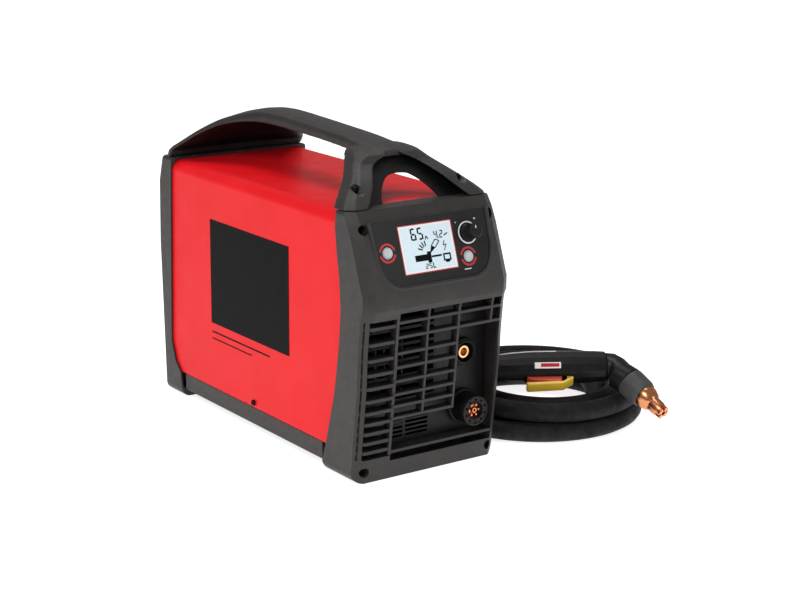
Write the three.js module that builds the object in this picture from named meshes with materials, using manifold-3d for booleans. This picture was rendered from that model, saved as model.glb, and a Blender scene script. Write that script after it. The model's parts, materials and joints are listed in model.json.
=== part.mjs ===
// Inverter plasma cutter: sheet-metal cover between two moulded bezels, an arched carrying
// handle, a sloping control panel, sockets in a front pocket, and a hand torch whose sheathed
// lead lies coiled beside the unit.
// Millimetres. +Z is up, -Y is the front, +X is the operator's right.
// The origin is the middle of the front foot's flat underside.

import * as THREE from 'three';
import { mergeVertices } from 'three/addons/utils/BufferGeometryUtils.js';
import Module from 'manifold-3d';

const wasm = await Module();
wasm.setup();

// ---- Driving dimensions ----------------------------------------------------------------
const HALF_W = 107.5;          // half the width over the bezels
const WALL = 2.7;              // moulded bezel wall
const GAP = 0.3;               // clearance between touching pieces
const SHEET = 1.5;             // sheet metal of the cover and tray
const COVER_HALF = HALF_W - WALL - GAP;
const ROOF = 332;              // top of the bezels
const COVER_ROOF = ROOF - WALL - GAP;
const CORNER_IN = 12.5;        // how far the front corner facets reach in from the sides
const CORNER_DEEP = 10;        // how far the front face stands ahead of the side creases
const TRAY_Z = 11.5;           // underside of the base tray
const SPLIT_Z = 34.5;          // where the cover ends and the tray begins

// Front bezel seen from the side, [y, z] pairs: the crease in front and the rear edge.
const FRONT_CREASE = [
  [-28, 0], [-32, 38], [-37, 82], [-41.5, 120], [-44, 165], [-48, 205], [-50, 213],
  [-53, 219], [-53, 236], [-49, 247], [-38, 277], [-29, 300], [-20, 318], [-10, ROOF],
];
const FRONT_REAR = [
  [31, 0], [34, 12], [26, 36], [19, 60], [8, 100], [1, 140], [-4, 175], [-7, 210],
  [-4, 250], [2, 285], [5, 310], [4, ROOF],
];
// Rear bezel seen from the side: its front edge and its rear crease.
const REAR_FRONT = [
  [386, 0], [391, 34], [405, 48], [415, 75], [412, 180], [407, 300], [405, ROOF],
];
const REAR_CREASE = [
  [430.5, 0], [433, 41], [437, 127], [440, 212], [438, 297], [428, ROOF],
];

const PANEL_TILT = 0.337;      // radians that the control panel leans back
const PANEL_AT = [0, -46.2, 280];
const SCREEN = [74, 54];       // visible screen, width and height
const SCREEN_AT = [-7, 4];
const KNOB_AT = [54.6, 14.6];
const MODE_AT = [49.6, -14];
const INFO_AT = [-66, 4];

const SOCKET_X = 66;           // both front sockets are in line
const PLATE_Y = -19;           // face of the recessed socket panel
const EARTH_Z = 136.5;
const TORCH_SOCKET_Z = 66.5;

const COIL_AT = [259.5, 74];   // centre of the coiled lead
const COIL_R = 149;            // its outside radius
const COIL_HOLE = 74;
const LEAD_D = 25;             // sheathed torch lead
const COIL_TOP = 2 * LEAD_D;
const TORCH_NECK = new THREE.Vector3(289, -38, 83.5);
const TORCH_AXIS = new THREE.Vector3(0.823, -0.5645, 0.02).normalize();
const NOZZLE_AXIS = new THREE.Vector3(0.064, -0.906, -0.418).normalize();
const HANDLE_LONG = 145;
const PLUG_AT = [131, 248, 21.6];

// ---- Geometry helpers ------------------------------------------------------------------
const root = new THREE.Group();
const COLOURS = {
  red: [0xe01b22, 0.35, 0.1],
  plastic: [0x3a3836, 0.62, 0],
  black: [0x141414, 0.5, 0],
  brass: [0xc8923c, 0.3, 0.9],
  copper: [0xb5652e, 0.3, 0.9],
  steel: [0x8c8f92, 0.4, 0.8],
  zinc: [0x2a2a2c, 0.45, 0.6],
  screen: [0xcfe4f2, 0.2, 0],
  board: [0x1f6b3a, 0.6, 0],
  yellow: [0xe8c21e, 0.45, 0],
  orange: [0xd8402a, 0.45, 0],
  rubber: [0x1b1b1b, 0.8, 0],
  grey: [0x55565a, 0.5, 0],
};

function add(name, geometry, colour, parent = root) {
  const [color, roughness, metalness] = COLOURS[colour];
  const material = new THREE.MeshStandardMaterial({ color, roughness, metalness });
  const mesh = new THREE.Mesh(geometry, material);
  mesh.name = name;
  parent.add(mesh);
  return mesh;
}

function toSolid(geometry) {
  const bare = geometry.clone();
  bare.deleteAttribute('normal');
  bare.deleteAttribute('uv');
  const merged = mergeVertices(bare, 1e-4);
  return new wasm.Manifold(new wasm.Mesh({
    numProp: 3,
    vertProperties: new Float32Array(merged.attributes.position.array),
    triVerts: new Uint32Array(merged.index.array),
  }));
}

function toGeometry(solid) {
  const mesh = solid.getMesh();
  const geometry = new THREE.BufferGeometry();
  geometry.setAttribute('position', new THREE.BufferAttribute(mesh.vertProperties, 3));
  geometry.setIndex(new THREE.BufferAttribute(mesh.triVerts, 1));
  return geometry;
}

function join(...geometries) {
  return toGeometry(geometries.map(toSolid).reduce((a, b) => a.add(b)));
}

function cut(base, ...tools) {
  return toGeometry(tools.map(toSolid).reduce((a, b) => a.subtract(b), toSolid(base)));
}

function common(a, b) {
  return toGeometry(toSolid(a).intersect(toSolid(b)));
}

function box(x0, x1, y0, y1, z0, z1) {
  const geometry = new THREE.BoxGeometry(x1 - x0, y1 - y0, z1 - z0);
  return geometry.translate((x0 + x1) / 2, (y0 + y1) / 2, (z0 + z1) / 2);
}

function outline(points) {
  return new THREE.Shape(points.map(([u, v]) => new THREE.Vector2(u, v)));
}

// A rectangle with rounded corners: half width a, half height b, radius r (and top for the
// upper two corners), centred on (u, v).
function rounded(a, b, r, u = 0, v = 0, top = r) {
  const shape = new THREE.Shape();
  shape.absarc(u + a - r, v - b + r, r, -Math.PI / 2, 0);
  shape.absarc(u + a - top, v + b - top, top, 0, Math.PI / 2);
  shape.absarc(u - a + top, v + b - top, top, Math.PI / 2, Math.PI);
  shape.absarc(u - a + r, v - b + r, r, Math.PI, 1.5 * Math.PI);
  return shape;
}

function extrude(shape, depth, curveSegments = 6) {
  return new THREE.ExtrudeGeometry(shape, { depth, bevelEnabled: false, curveSegments });
}

const X = new THREE.Vector3(1, 0, 0);
const Y = new THREE.Vector3(0, 1, 0);
const Z = new THREE.Vector3(0, 0, 1);

// Extrusions of a shape drawn in (y, z) along X, in (x, z) along -Y, and in (x, y) along Z.
function alongX(shape, x0, x1, segments) {
  const turn = new THREE.Matrix4().makeBasis(Y, Z, X);
  return extrude(shape, x1 - x0, segments).applyMatrix4(turn).translate(x0, 0, 0);
}

function alongY(shape, y0, y1, segments) {
  const turn = new THREE.Matrix4().makeBasis(X, Z, Y.clone().negate());
  return extrude(shape, y1 - y0, segments).applyMatrix4(turn).translate(0, y1, 0);
}

function alongZ(shape, z0, z1, segments) {
  return extrude(shape, z1 - z0, segments).translate(0, 0, z0);
}

// A turned part about Z from a closed [radius, z] profile.
function turned(profile, segments = 24) {
  const points = profile.concat([profile[0]]).map(([r, z]) => new THREE.Vector2(r, z));
  return new THREE.LatheGeometry(points, segments).rotateX(Math.PI / 2);
}

// A plain round rod about Z, closed at both ends.
function rod(radius, z0, z1, segments = 20) {
  return turned([[0, z0], [radius, z0], [radius, z1], [0, z1]], segments);
}

function ring(inner, outer, z0, z1, segments = 24) {
  return turned([[inner, z0], [outer, z0], [outer, z1], [inner, z1]], segments);
}

// Turned parts made about Z are laid to point forward (-Y) from y = 0.
function facingFront(geometry, x, y, z) {
  return geometry.rotateX(Math.PI / 2).translate(x, y, z);
}

function facingRear(geometry, x, y, z) {
  return geometry.rotateX(-Math.PI / 2).translate(x, y, z);
}

// A closed skin through cross-sections that all have the same number of [x, y, z] points.
function loft(sections) {
  const count = sections[0].length;
  const positions = sections.flat(2);
  const index = [];
  for (let s = 0; s + 1 < sections.length; s += 1) {
    for (let i = 0; i < count; i += 1) {
      const a = s * count + i;
      const b = s * count + ((i + 1) % count);
      index.push(a, b, a + count, b, b + count, a + count);
    }
  }
  const last = (sections.length - 1) * count;
  for (let i = 1; i + 1 < count; i += 1) {
    index.push(0, i + 1, i, last, last + i, last + i + 1);
  }
  const geometry = new THREE.BufferGeometry();
  geometry.setAttribute('position', new THREE.Float32BufferAttribute(positions, 3));
  geometry.setIndex(index);
  if (volume(geometry) < 0) {
    for (let i = 0; i < index.length; i += 3) {
      [index[i], index[i + 1]] = [index[i + 1], index[i]];
    }
    geometry.setIndex(index);
  }
  return geometry;
}

function volume(geometry) {
  const p = geometry.attributes.position;
  const at = (i) => new THREE.Vector3().fromBufferAttribute(p, geometry.index.getX(i));
  let sum = 0;
  for (let i = 0; i < geometry.index.count; i += 3) {
    sum += at(i).dot(at(i + 1).cross(at(i + 2)));
  }
  return sum;
}

// The y of a [y, z] profile at a height.
function yAt(profile, z) {
  const i = Math.max(1, profile.findIndex(([, pz]) => pz >= z));
  const [y0, z0] = profile[i - 1];
  const [y1, z1] = profile[i];
  return y0 + (y1 - y0) * (z - z0) / (z1 - z0);
}

const faceY = (z) => yAt(FRONT_CREASE, z) - CORNER_DEEP;

// ---- Cover and tray --------------------------------------------------------------------
const COVER_FRONT = 0;
const COVER_REAR = 418;
const SIDE_SCREW = [200, 41];   // y and z of the screw in each side

function coverShell() {
  const outer = rounded(COVER_HALF, 200, 15, 0, COVER_ROOF - 200);
  const inner = rounded(COVER_HALF - SHEET, 200, 13.5, 0, COVER_ROOF - SHEET - 200);
  const tube = cut(
    alongY(outer, COVER_FRONT - 12, COVER_REAR, 8),
    alongY(inner, COVER_FRONT - 20, COVER_REAR + 5, 8),
    box(-200, 200, -100, 500, -200, SPLIT_Z),
  );
  const frontEdge = FRONT_REAR.map(([y, z]) => [y - 10, z]);
  const rearEdge = REAR_FRONT.map(([y, z]) => [y + 9, z]).reverse();
  const side = outline([...frontEdge, ...rearEdge]);
  const screwHole = rod(2.4, -150, 150, 12).rotateY(Math.PI / 2).translate(0, ...SIDE_SCREW);
  return cut(common(tube, alongX(side, -150, 150)), screwHole);
}

function baseTray() {
  const long = outline([
    [38, TRAY_Z], [382, TRAY_Z], [382, SPLIT_Z - GAP], [38, SPLIT_Z - GAP],
  ]);
  const solid = alongX(long, -COVER_HALF, COVER_HALF);
  const pan = cut(solid, box(-COVER_HALF + 3, COVER_HALF - 3, 30, 400, TRAY_Z + 3, 60));
  const slots = [90, 130, 170, 210, 250, 290, 330].map((y) => box(-60, 60, y, y + 6, 0, 20));
  return cut(pan, ...slots);
}

// ---- Front bezel -----------------------------------------------------------------------
const FRONT_LEVELS = [
  0, 12, 38, 60, 82, 100, 120, 140, 165, 175, 205, 210, 213, 219, 236, 247, 250, 277, 285,
  300, 310, 318, ROOF,
];

function bezelSection(z, inset, rear) {
  const w = HALF_W - inset;
  const crease = yAt(FRONT_CREASE, z) + inset;
  const face = crease - CORNER_DEEP;
  const back = rear ?? yAt(FRONT_REAR, z);
  const inner = w - CORNER_IN;
  return [
    [-w, back, z], [-w, crease, z], [-inner, face, z],
    [inner, face, z], [w, crease, z], [w, back, z],
  ];
}

const BEZEL_OUTLINE = rounded(HALF_W, ROOF / 2, 12, 0, ROOF / 2, 4);
const FOOT = 6;                // thickness of the feet
const BEZEL_HOLLOW = rounded(
  HALF_W - WALL, (ROOF - WALL - FOOT) / 2, 12, 0, (ROOF - WALL + FOOT) / 2,
);

// The mouth of the grille: everything between the hood, the bottom lip and the jambs.
const MOUTH = { left: -96, right: 97, bottom: 23, top: 212 };
const POCKET_LEFT = 32;        // the vertical bar at the pocket's left edge
const MAIN_BARS = [200, 181.5, 161, 143.5, 126, 109, 93.5, 78];
const FINS = [197, 177, 157, 139, 122, 105.5, 90, 76, 63.5, 51, 39];
const RIB_DEEP = 13;

function bar(x0, x1, z, thick = 3.4) {
  const y = faceY(z);
  return box(x0, x1, y, y + RIB_DEEP, z - thick / 2, z + thick / 2);
}

// A fin follows the corner facet from the side crease to the face.
function fin(z) {
  const crease = yAt(FRONT_CREASE, z) + 1;
  const face = crease - CORNER_DEEP;
  const shape = outline([
    [-HALF_W + 1, crease], [-HALF_W + CORNER_IN, face], [-58, face],
    [-58, face + RIB_DEEP], [-HALF_W + 4, crease + RIB_DEEP - 2],
  ]);
  return alongZ(shape, z - 2, z + 2);
}

function upright(x, z0, z1, thick = 3) {
  const lean = outline([
    [faceY(z0) + 0.5, z0], [faceY(z1) + 0.5, z1],
    [faceY(z1) + RIB_DEEP, z1], [faceY(z0) + RIB_DEEP, z0],
  ]);
  return alongX(lean, x - thick / 2, x + thick / 2);
}

function onPanel(geometry) {
  const place = new THREE.Matrix4().makeRotationX(Math.PI / 2 - PANEL_TILT);
  place.setPosition(...PANEL_AT);
  return geometry.applyMatrix4(place);
}

// A block as wide and high as the screen plus a margin on each side.
function screenBox(wide, high, z0, z1) {
  const [u, v] = SCREEN_AT;
  const a = SCREEN[0] / 2 + wide;
  const b = SCREEN[1] / 2 + high;
  return box(u - a, u + a, v - b, v + b, z0, z1);
}

// The fascia: square above, tapering to large round corners below.
function fasciaShape(grow) {
  const left = -82.5 - grow;
  const right = 86 + grow;
  const top = 42 + grow;
  const low = -38 - grow;
  const shape = new THREE.Shape();
  shape.moveTo(left + 2, top);
  shape.lineTo(left, top - 2);
  shape.lineTo(left + 2, 0);
  shape.quadraticCurveTo(left + 5, low, -48, low);
  shape.lineTo(50, low);
  shape.quadraticCurveTo(right - 5, low, right - 2, 0);
  shape.lineTo(right, top - 2);
  shape.lineTo(right - 2, top);
  return shape;
}

// A screw's head sits on the floor of a round recess, and its shank goes through behind it.
function screwRecess(radius, x, z, floor) {
  return facingFront(rod(radius, 0, 40, 14), x, floor, z);
}

function shankHole(x, z, floor) {
  return facingFront(rod(2.7, -9, 1, 8), x, floor, z);
}

function frontBezel() {
  const outer = common(
    loft(FRONT_LEVELS.map((z) => bezelSection(z, 0))),
    alongY(BEZEL_OUTLINE, -90, 60, 6),
  );
  const hollow = common(
    loft(FRONT_LEVELS.map((z) => bezelSection(z, WALL, 60))),
    alongY(BEZEL_HOLLOW, -90, 90, 6),
  );
  const rim = onPanel(extrude(fasciaShape(0.4), 20, 8).translate(0, 0, -2.6));
  const panelHoles = [
    onPanel(screenBox(4, 3, -20, 5)),
    ...[KNOB_AT, MODE_AT, INFO_AT].map(
      ([u, v]) => onPanel(rod(8.5, -20, 5, 14).translate(u, v, 0)),
    ),
  ];
  const grilleMouth = [
    box(-58, MOUTH.right, -90, 0, MOUTH.bottom, MOUTH.top),
    box(-HALF_W + WALL + 0.5, -58, -90, -14, 30, 206),
  ];
  const shell = cut(outer, hollow, rim, ...panelHoles, ...grilleMouth);
  const ribs = [
    ...MAIN_BARS.map((z, i) => bar(-60, i < 2 ? MOUTH.right + 1 : POCKET_LEFT, z)),
    ...FINS.map(fin),
    upright(-14, 76, 214),
    upright(POCKET_LEFT, 76, 214),
    upright(82, 180, 214),
    upright(-59, 31, 214, 4),
    upright(-HALF_W + 7, 28, 208, 4),
    box(-60, MOUTH.right + 1, faceY(34) + 2, PLATE_Y - GAP, 32, 35.5),
  ];
  const bosses = FRONT_SCREWS.map(([x, z, y]) => facingFront(rod(8, -6, 12, 12), x, y, z));
  const inside = [...bosses, ...ribs].map((piece) => common(piece, outer));
  const body = join(shell, ...inside);
  const recesses = FRONT_SCREWS.map(([x, z, y]) => screwRecess(6.2, x, z, y));
  const shanks = FRONT_SCREWS.map(([x, z, y]) => shankHole(x, z, y));
  return cut(body, ...recesses, ...shanks);
}

// [x, z, y of the recess floor]
const FRONT_SCREWS = [
  [-92.5, 312, -17], [94, 312, -17], [-94, 14, -26], [94, 14, -26],
];

function screw(radius) {
  const head = rod(radius, 0, 3, 12);
  const socket = rod(radius * 0.45, 1.4, 6, 6);
  return cut(join(head, rod(radius * 0.5, -7, 0.5, 8)), socket);
}

// ---- Socket panel and sockets ----------------------------------------------------------
function socketPanel() {
  const plate = box(-101, 101, PLATE_Y, PLATE_Y + 2, 24, 208);
  const holes = [
    facingFront(rod(15.5, -10, 10, 20), SOCKET_X, PLATE_Y, EARTH_Z),
    facingFront(rod(14, -10, 10, 20), SOCKET_X, PLATE_Y, TORCH_SOCKET_Z),
  ];
  const louvres = [];
  for (const z of [42, 47.5, 53, 58.5, 64, 69.5]) {
    louvres.push(box(-56, -24, -40, 0, z, z + 3), box(-20, 14, -40, 0, z, z + 3));
  }
  const vents = [];
  for (let z = 82; z < 200; z += 10) {
    vents.push(box(-90, 22, -40, 0, z, z + 6));
  }
  return cut(plate, ...holes, ...louvres, ...vents);
}

function earthSocketBody() {
  const profile = [
    [7.2, -24], [15, -24], [15, -3], [15, 0.3], [18, 0.3], [18, 5.5], [14.5, 7], [12.6, 7],
    [12.6, -12], [7.2, -12],
  ];
  return facingFront(turned(profile, 20), SOCKET_X, PLATE_Y, EARTH_Z);
}

function earthSocketContact() {
  const profile = [[4.6, -14], [4.6, 4], [7.9, 4], [8.6, 2], [8.6, -11.7], [6.9, -11.7],
    [6.9, -34], [0, -34], [0, -14]];
  return facingFront(turned(profile.reverse(), 16), SOCKET_X, PLATE_Y, EARTH_Z);
}

function torchAdapterBody() {
  const profile = [
    [11, -22], [13.5, -22], [13.5, 0.3], [22, 0.3], [22, 5], [19, 7], [18.5, 22],
    [19.5, 24], [19.5, 29], [17.5, 31], [11, 31],
  ];
  return facingFront(turned(profile, 24), SOCKET_X, PLATE_Y, TORCH_SOCKET_Z);
}

function torchAdapterCore() {
  const core = rod(10.7, -22, 21, 20);
  const pins = [];
  for (let i = 0; i < 6; i += 1) {
    const turn = (i * Math.PI) / 3;
    pins.push(rod(1.6, 20, 27, 6).translate(7 * Math.cos(turn), 7 * Math.sin(turn), 0));
  }
  const centre = rod(3.4, 20, 28, 12);
  const bored = cut(join(core, centre, ...pins), rod(1.8, 22, 40, 8));
  return facingFront(bored, SOCKET_X, PLATE_Y, TORCH_SOCKET_Z);
}

// ---- Control panel ---------------------------------------------------------------------
const panel = new THREE.Group();
panel.position.set(...PANEL_AT);
panel.rotation.x = Math.PI / 2 - PANEL_TILT;
root.add(panel);

function fascia() {
  const plate = extrude(fasciaShape(-0.3), 1.6, 8).translate(0, 0, -2.3);
  const screenHole = extrude(rounded(SCREEN[0] / 2 + 2, SCREEN[1] / 2 + 2, 3, ...SCREEN_AT), 20, 3);
  const holes = [MODE_AT, INFO_AT].map(([u, v]) => rod(6.2, -5, 5, 16).translate(u, v, 0));
  const shaftHole = rod(5, -5, 5, 12).translate(...KNOB_AT, 0);
  return cut(plate, screenHole.translate(0, 0, -10), ...holes, shaftHole);
}

function displayWindow() {
  const pane = extrude(rounded(SCREEN[0] / 2 + 1.6, SCREEN[1] / 2 + 1.6, 2.6, ...SCREEN_AT), 1.8, 3);
  return pane.translate(0, 0, -2.6);
}

function buttonCap() {
  const profile = [
    [0, -3.4], [7.6, -3.4], [7.6, -2.7], [5.8, -2.7], [5.8, 0.6], [4.8, 1.4], [0, 1.4],
  ];
  return turned(profile, 20);
}

function encoderKnob() {
  const profile = [
    [3.3, -0.4], [10.6, -0.4], [10.6, 2], [9.6, 3], [9.2, 17], [8, 18.5], [0, 18.5], [0, 14],
    [3.3, 14],
  ];
  return cut(turned(profile, 24), box(-0.7, 0.7, 6, 12, 16.8, 20));
}

function encoderBody() {
  return join(box(-7, 7, -7, 7, -15, -8), rod(4.6, -9, -3, 16), rod(3, -4, 13.6, 12));
}

// ---- Carrying handle -------------------------------------------------------------------
// Stations of the arch from the rear bezel to the fork: [y, z of the outer face, half width,
// thickness, slope of the outward normal from +Y in radians].
const ARCH = [
  [427.5, ROOF + GAP, 106.5, 15, 0],
  [417, 350, 107, 13, 0.75],
  [404.4, 361, 98, 13, 0.83],
  [388, 375.5, 82, 13.5, 0.9],
  [364, 391, 62, 14.5, 1.05],
  [338, 400, 44, 16, 1.25],
  [306, 404.5, 32, 17, 1.45],
  [272, 405, 28, 17, 1.55],
  [235, 404, 26.5, 17, 1.58],
  [172, 401.5, 26, 16, 1.6],
  [110, 398.5, 26, 16, 1.6],
  [80, 395.5, 28, 15, 1.62],
  [58, 392, 34, 13, 1.7],
  [42, 387.5, 38, 11, 1.8],
];

// Across a station: rounded shoulders, a crowned top and a hollow underside.
function archSection([y, z, half, thick, slope], inset = 0) {
  const crown = 0.12 * Math.min(half, 45);
  const across = [
    [-1, 0.3 * thick + crown], [-0.9, crown], [-0.45, 0.2 * crown], [0, 0],
    [0.45, 0.2 * crown], [0.9, crown], [1, 0.3 * thick + crown], [0.98, thick],
    [0.82, thick], [0.45, 0.85 * thick], [0, 0.8 * thick],
    [-0.45, 0.85 * thick], [-0.82, thick], [-0.98, thick],
  ];
  return across.map(([u, depth]) => [
    u * (half - inset),
    y - Math.cos(slope) * depth,
    z - Math.sin(slope) * depth,
  ]);
}

const HANDLE_SCREW = [76, 352, 11];

// A post from the fork down to the corner of the front bezel, for the left (-1) or right (1).
function post(side) {
  const stations = [
    [[8, 56, 391.5], [33, 60, 389], [38, 72, 389], [36, 86, 389], [8, 86, 391.5]],
    [[10, 38, 384], [38, 41, 384.5], [47, 56, 384.5], [45, 80, 384.5], [12, 80, 383]],
    [[31, 33, 374], [53, 35, 374], [58, 42, 374], [58, 62, 374], [37, 62, 374]],
    [[49, 9, 359], [70, 10, 359], [76, 19, 359], [76, 39, 359], [55, 39, 359]],
    [[64, -9, 343], [88, -8, 343], [96, 2, 343], [97, 19, 343], [71, 19, 343]],
    [[76, -19.5, 332.3], [96, -19, 332.3], [106.5, -9, 332.3], [106.5, 11, 332.3],
      [78, 11, 332.3]],
  ];
  const sections = stations.map((s) => s.map(([x, y, z]) => [side * x, y, z]));
  const [x, z, floor] = HANDLE_SCREW;
  return cut(loft(sections), screwRecess(6, side * x, z, floor), shankHole(side * x, z, floor));
}

// The thin inner wall that closes the fork behind its front edge, leaning back with the posts,
// with an arched opening through it. Half outlines in x and z; y follows from z.
const WEB_OUTER = [[84, ROOF + GAP], [76, 343], [60, 359], [44, 374], [25, 385], [0, 388]];
const WEB_ARCH = [
  [0, 361], [14, 359.5], [25, 353.5], [34, 345], [40, 337], [42, ROOF - 10],
];
const WEB_THICK = 4;
const WEB_LEAN = 1.08;          // how far it goes back for each millimetre up

function forkWeb() {
  const mirrored = (half) => half.map(([x, z]) => [-x, z]).reverse();
  const around = outline([...mirrored(WEB_OUTER), ...WEB_OUTER.slice(0, -1)]);
  const through = outline([...WEB_ARCH, ...mirrored(WEB_ARCH).slice(0, -1)]);
  const upright = cut(alongY(around, 0, WEB_THICK), alongY(through, -50, 50));
  const lean = new THREE.Matrix4();
  lean.set(1, 0, 0, 0, 0, 1, WEB_LEAN, -WEB_LEAN * ROOF, 0, 0, 1, 0, 0, 0, 0, 1);
  return upright.applyMatrix4(lean);
}

function handleShell() {
  const arch = loft(ARCH.map((station) => archSection(station)));
  return join(arch, post(-1), post(1), forkWeb());
}

// The closing strip under the grip.
function handleUnderside() {
  const sections = ARCH.slice(7, 11).map(([y, z, half, thick]) => [
    [-0.6 * half, y, z - thick - 0.4], [0.6 * half, y, z - thick - 0.4],
    [0.5 * half, y, z - thick - 3.4], [-0.5 * half, y, z - thick - 3.4],
  ]);
  return loft(sections);
}

// ---- Rear bezel, plate and fittings ----------------------------------------------------
const REAR_LEVELS = [0, 34, 41, 48, 75, 127, 180, 212, 297, 300, ROOF];
const REAR_PLATE_Y = 424;
const REAR_CORNER = 9;

function rearSection(z, inset, front) {
  const w = HALF_W - inset;
  const crease = yAt(REAR_CREASE, z) - inset;
  const back = crease + 5;
  const inner = w - REAR_CORNER;
  const edge = front ?? yAt(REAR_FRONT, z);
  return [
    [-w, edge, z], [-w, crease, z], [-inner, back, z],
    [inner, back, z], [w, crease, z], [w, edge, z],
  ];
}

function rearBezel() {
  const outer = common(
    loft(REAR_LEVELS.map((z) => rearSection(z, 0))),
    alongY(BEZEL_OUTLINE, 300, 500, 6),
  );
  const hollow = common(
    loft(REAR_LEVELS.map((z) => rearSection(z, WALL, 300))),
    alongY(BEZEL_HOLLOW, 300, 500, 6),
  );
  const mouth = alongY(rounded(90, 134, 10, 0, 172), 400, 500, 4);
  const shell = cut(outer, hollow, mouth);
  const ledge = cut(
    alongY(rounded(HALF_W - WALL + 0.5, 152, 12, 0, 170), REAR_PLATE_Y + 2.5, REAR_PLATE_Y + 7, 4),
    alongY(rounded(90, 134, 10, 0, 172), 400, 500, 4),
  );
  const body = join(shell, common(ledge, outer));
  const holes = REAR_SCREWS.flatMap(([x, z]) => [
    facingRear(rod(2.6, -20, 30, 8), x, REAR_PLATE_Y, z),
    facingRear(rod(5.6, 7.5, 40, 14), x, REAR_PLATE_Y, z),
  ]);
  return cut(body, ...holes);
}

const REAR_SCREWS = [[-95, 309], [95, 309], [-95, 32], [95, 32]];
const FAN_AT = [-18, 205];
const SWITCH_AT = [62, 262];
const GLAND_AT = [-58, 92];
const REGULATOR_AT = [52, 112];
const REGULATOR_OUT = 18;      // the regulator's axis stands this far behind the rear plate

function rearPlate() {
  const plate = alongY(rounded(101, 154, 10, 0, 172), REAR_PLATE_Y, REAR_PLATE_Y + 2, 4);
  const vents = [];
  for (let k = -3; k <= 3; k += 1) {
    const half = Math.sqrt(52 * 52 - (k * 14) ** 2);
    const z = FAN_AT[1] + k * 14;
    vents.push(box(FAN_AT[0] - half, FAN_AT[0] - 2, 400, 450, z - 4.5, z + 4.5));
    vents.push(box(FAN_AT[0] + 2, FAN_AT[0] + half, 400, 450, z - 4.5, z + 4.5));
  }
  const holes = [
    facingRear(rod(9, -9, 9, 16), SWITCH_AT[0], REAR_PLATE_Y, SWITCH_AT[1]),
    facingRear(rod(10.3, -9, 9, 20), GLAND_AT[0], REAR_PLATE_Y, GLAND_AT[1]),
    facingRear(rod(7.3, -9, 9, 20), REGULATOR_AT[0], REAR_PLATE_Y, REGULATOR_AT[1]),
    ...REAR_SCREWS.map(([x, z]) => facingRear(rod(2.6, -9, 9, 8), x, REAR_PLATE_Y, z)),
  ];
  return cut(plate, ...vents, ...holes);
}

function fanFrame() {
  const frame = alongY(rounded(60, 60, 6, ...FAN_AT), REAR_PLATE_Y - 25.6, REAR_PLATE_Y - GAP, 4);
  const bore = facingRear(rod(56, -22, 6, 24), FAN_AT[0], REAR_PLATE_Y, FAN_AT[1]);
  const throat = facingRear(rod(54, -30, -10, 24), FAN_AT[0], REAR_PLATE_Y, FAN_AT[1]);
  const hub = facingRear(rod(17, -25.4, -21, 20), FAN_AT[0], REAR_PLATE_Y, FAN_AT[1]);
  const pin = facingRear(rod(2, -25.4, -12, 12), FAN_AT[0], REAR_PLATE_Y, FAN_AT[1]);
  const arms = [[57, 3], [3, 57]].map(([a, b]) => box(
    FAN_AT[0] - a, FAN_AT[0] + a, REAR_PLATE_Y - 25.4, REAR_PLATE_Y - 21.5,
    FAN_AT[1] - b, FAN_AT[1] + b,
  ));
  return join(cut(frame, bore, throat), hub, pin, ...arms);
}

function fanRotor() {
  const hub = ring(2.4, 19, -18, 0, 24);
  const blades = [];
  for (let i = 0; i < 7; i += 1) {
    const blade = box(17, 51, -1, 1, -7.5, 7.5).rotateX(0.6).translate(0, 0, -9);
    blades.push(blade.rotateZ((i * 2 * Math.PI) / 7));
  }
  const rotor = join(hub, ...blades);
  return facingRear(cut(rotor, rod(2.4, -30, -4, 12)).translate(0, 0, -2.2), 0, 0, 0);
}

function switchBody() {
  const [x, z] = SWITCH_AT;
  const face = alongY(rounded(16, 16, 3, x, z), REAR_PLATE_Y + 2.3, REAR_PLATE_Y + 5, 3);
  const barrel = facingRear(ring(3.3, 8.7, -6, 3, 20), x, REAR_PLATE_Y, z);
  const bodyBlock = alongY(rounded(15, 15, 3, x, z), REAR_PLATE_Y - 40, REAR_PLATE_Y - GAP, 3);
  const bore = facingRear(rod(3.3, -16, 9, 16), x, REAR_PLATE_Y, z);
  return cut(join(face, barrel, bodyBlock), bore);
}

function switchKnob() {
  const dial = rod(13, 5.4, 10, 24);
  const grip = extrude(rounded(3.6, 12, 3, 0, 0), 8, 4).translate(0, 0, 9.6);
  return facingRear(join(dial, grip, rod(2.9, -12, 6, 12)), 0, 0, 0);
}

function cableGland() {
  const profile = [
    [6.6, -12], [10, -12], [10, 2.3], [15, 2.3], [15, 8], [13, 9], [13, 17], [11, 22], [6.6, 22],
  ];
  return facingRear(turned(profile, 20), GLAND_AT[0], REAR_PLATE_Y, GLAND_AT[1]);
}

function regulatorBody() {
  const [x, z] = REGULATOR_AT;
  const stem = facingRear(rod(7, -40, 4, 16), x, REAR_PLATE_Y, z);
  const block = alongY(rounded(18, 20, 4, x, z), REAR_PLATE_Y + 2.3, REAR_PLATE_Y + 31, 3);
  const neck = rod(9, 19, 26, 20).translate(x, REAR_PLATE_Y + REGULATOR_OUT, z);
  return join(stem, block, neck);
}

// ---- Torch -----------------------------------------------------------------------------
const torch = new THREE.Group();
const HEAD_BEND = TORCH_AXIS.angleTo(NOZZLE_AXIS);
const torchSide = TORCH_AXIS.clone().cross(NOZZLE_AXIS).normalize();
const torchUp = TORCH_AXIS.clone().cross(torchSide);
torch.matrix.makeBasis(TORCH_AXIS, torchSide, torchUp);
torch.quaternion.setFromRotationMatrix(torch.matrix);
torch.position.copy(TORCH_NECK);
root.add(torch);

// Stations along the handle: [x, half height up, half height down, half thickness].
const HANDLE_STATIONS = [
  [-HANDLE_LONG, 17, 17, 16],
  [-122, 20, 20.5, 18],
  [-98, 21.5, 22, 20],
  [-40, 22, 22, 20],
  [-15, 21, 20, 19],
  [0, 20, 18.5, 18],
];

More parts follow.
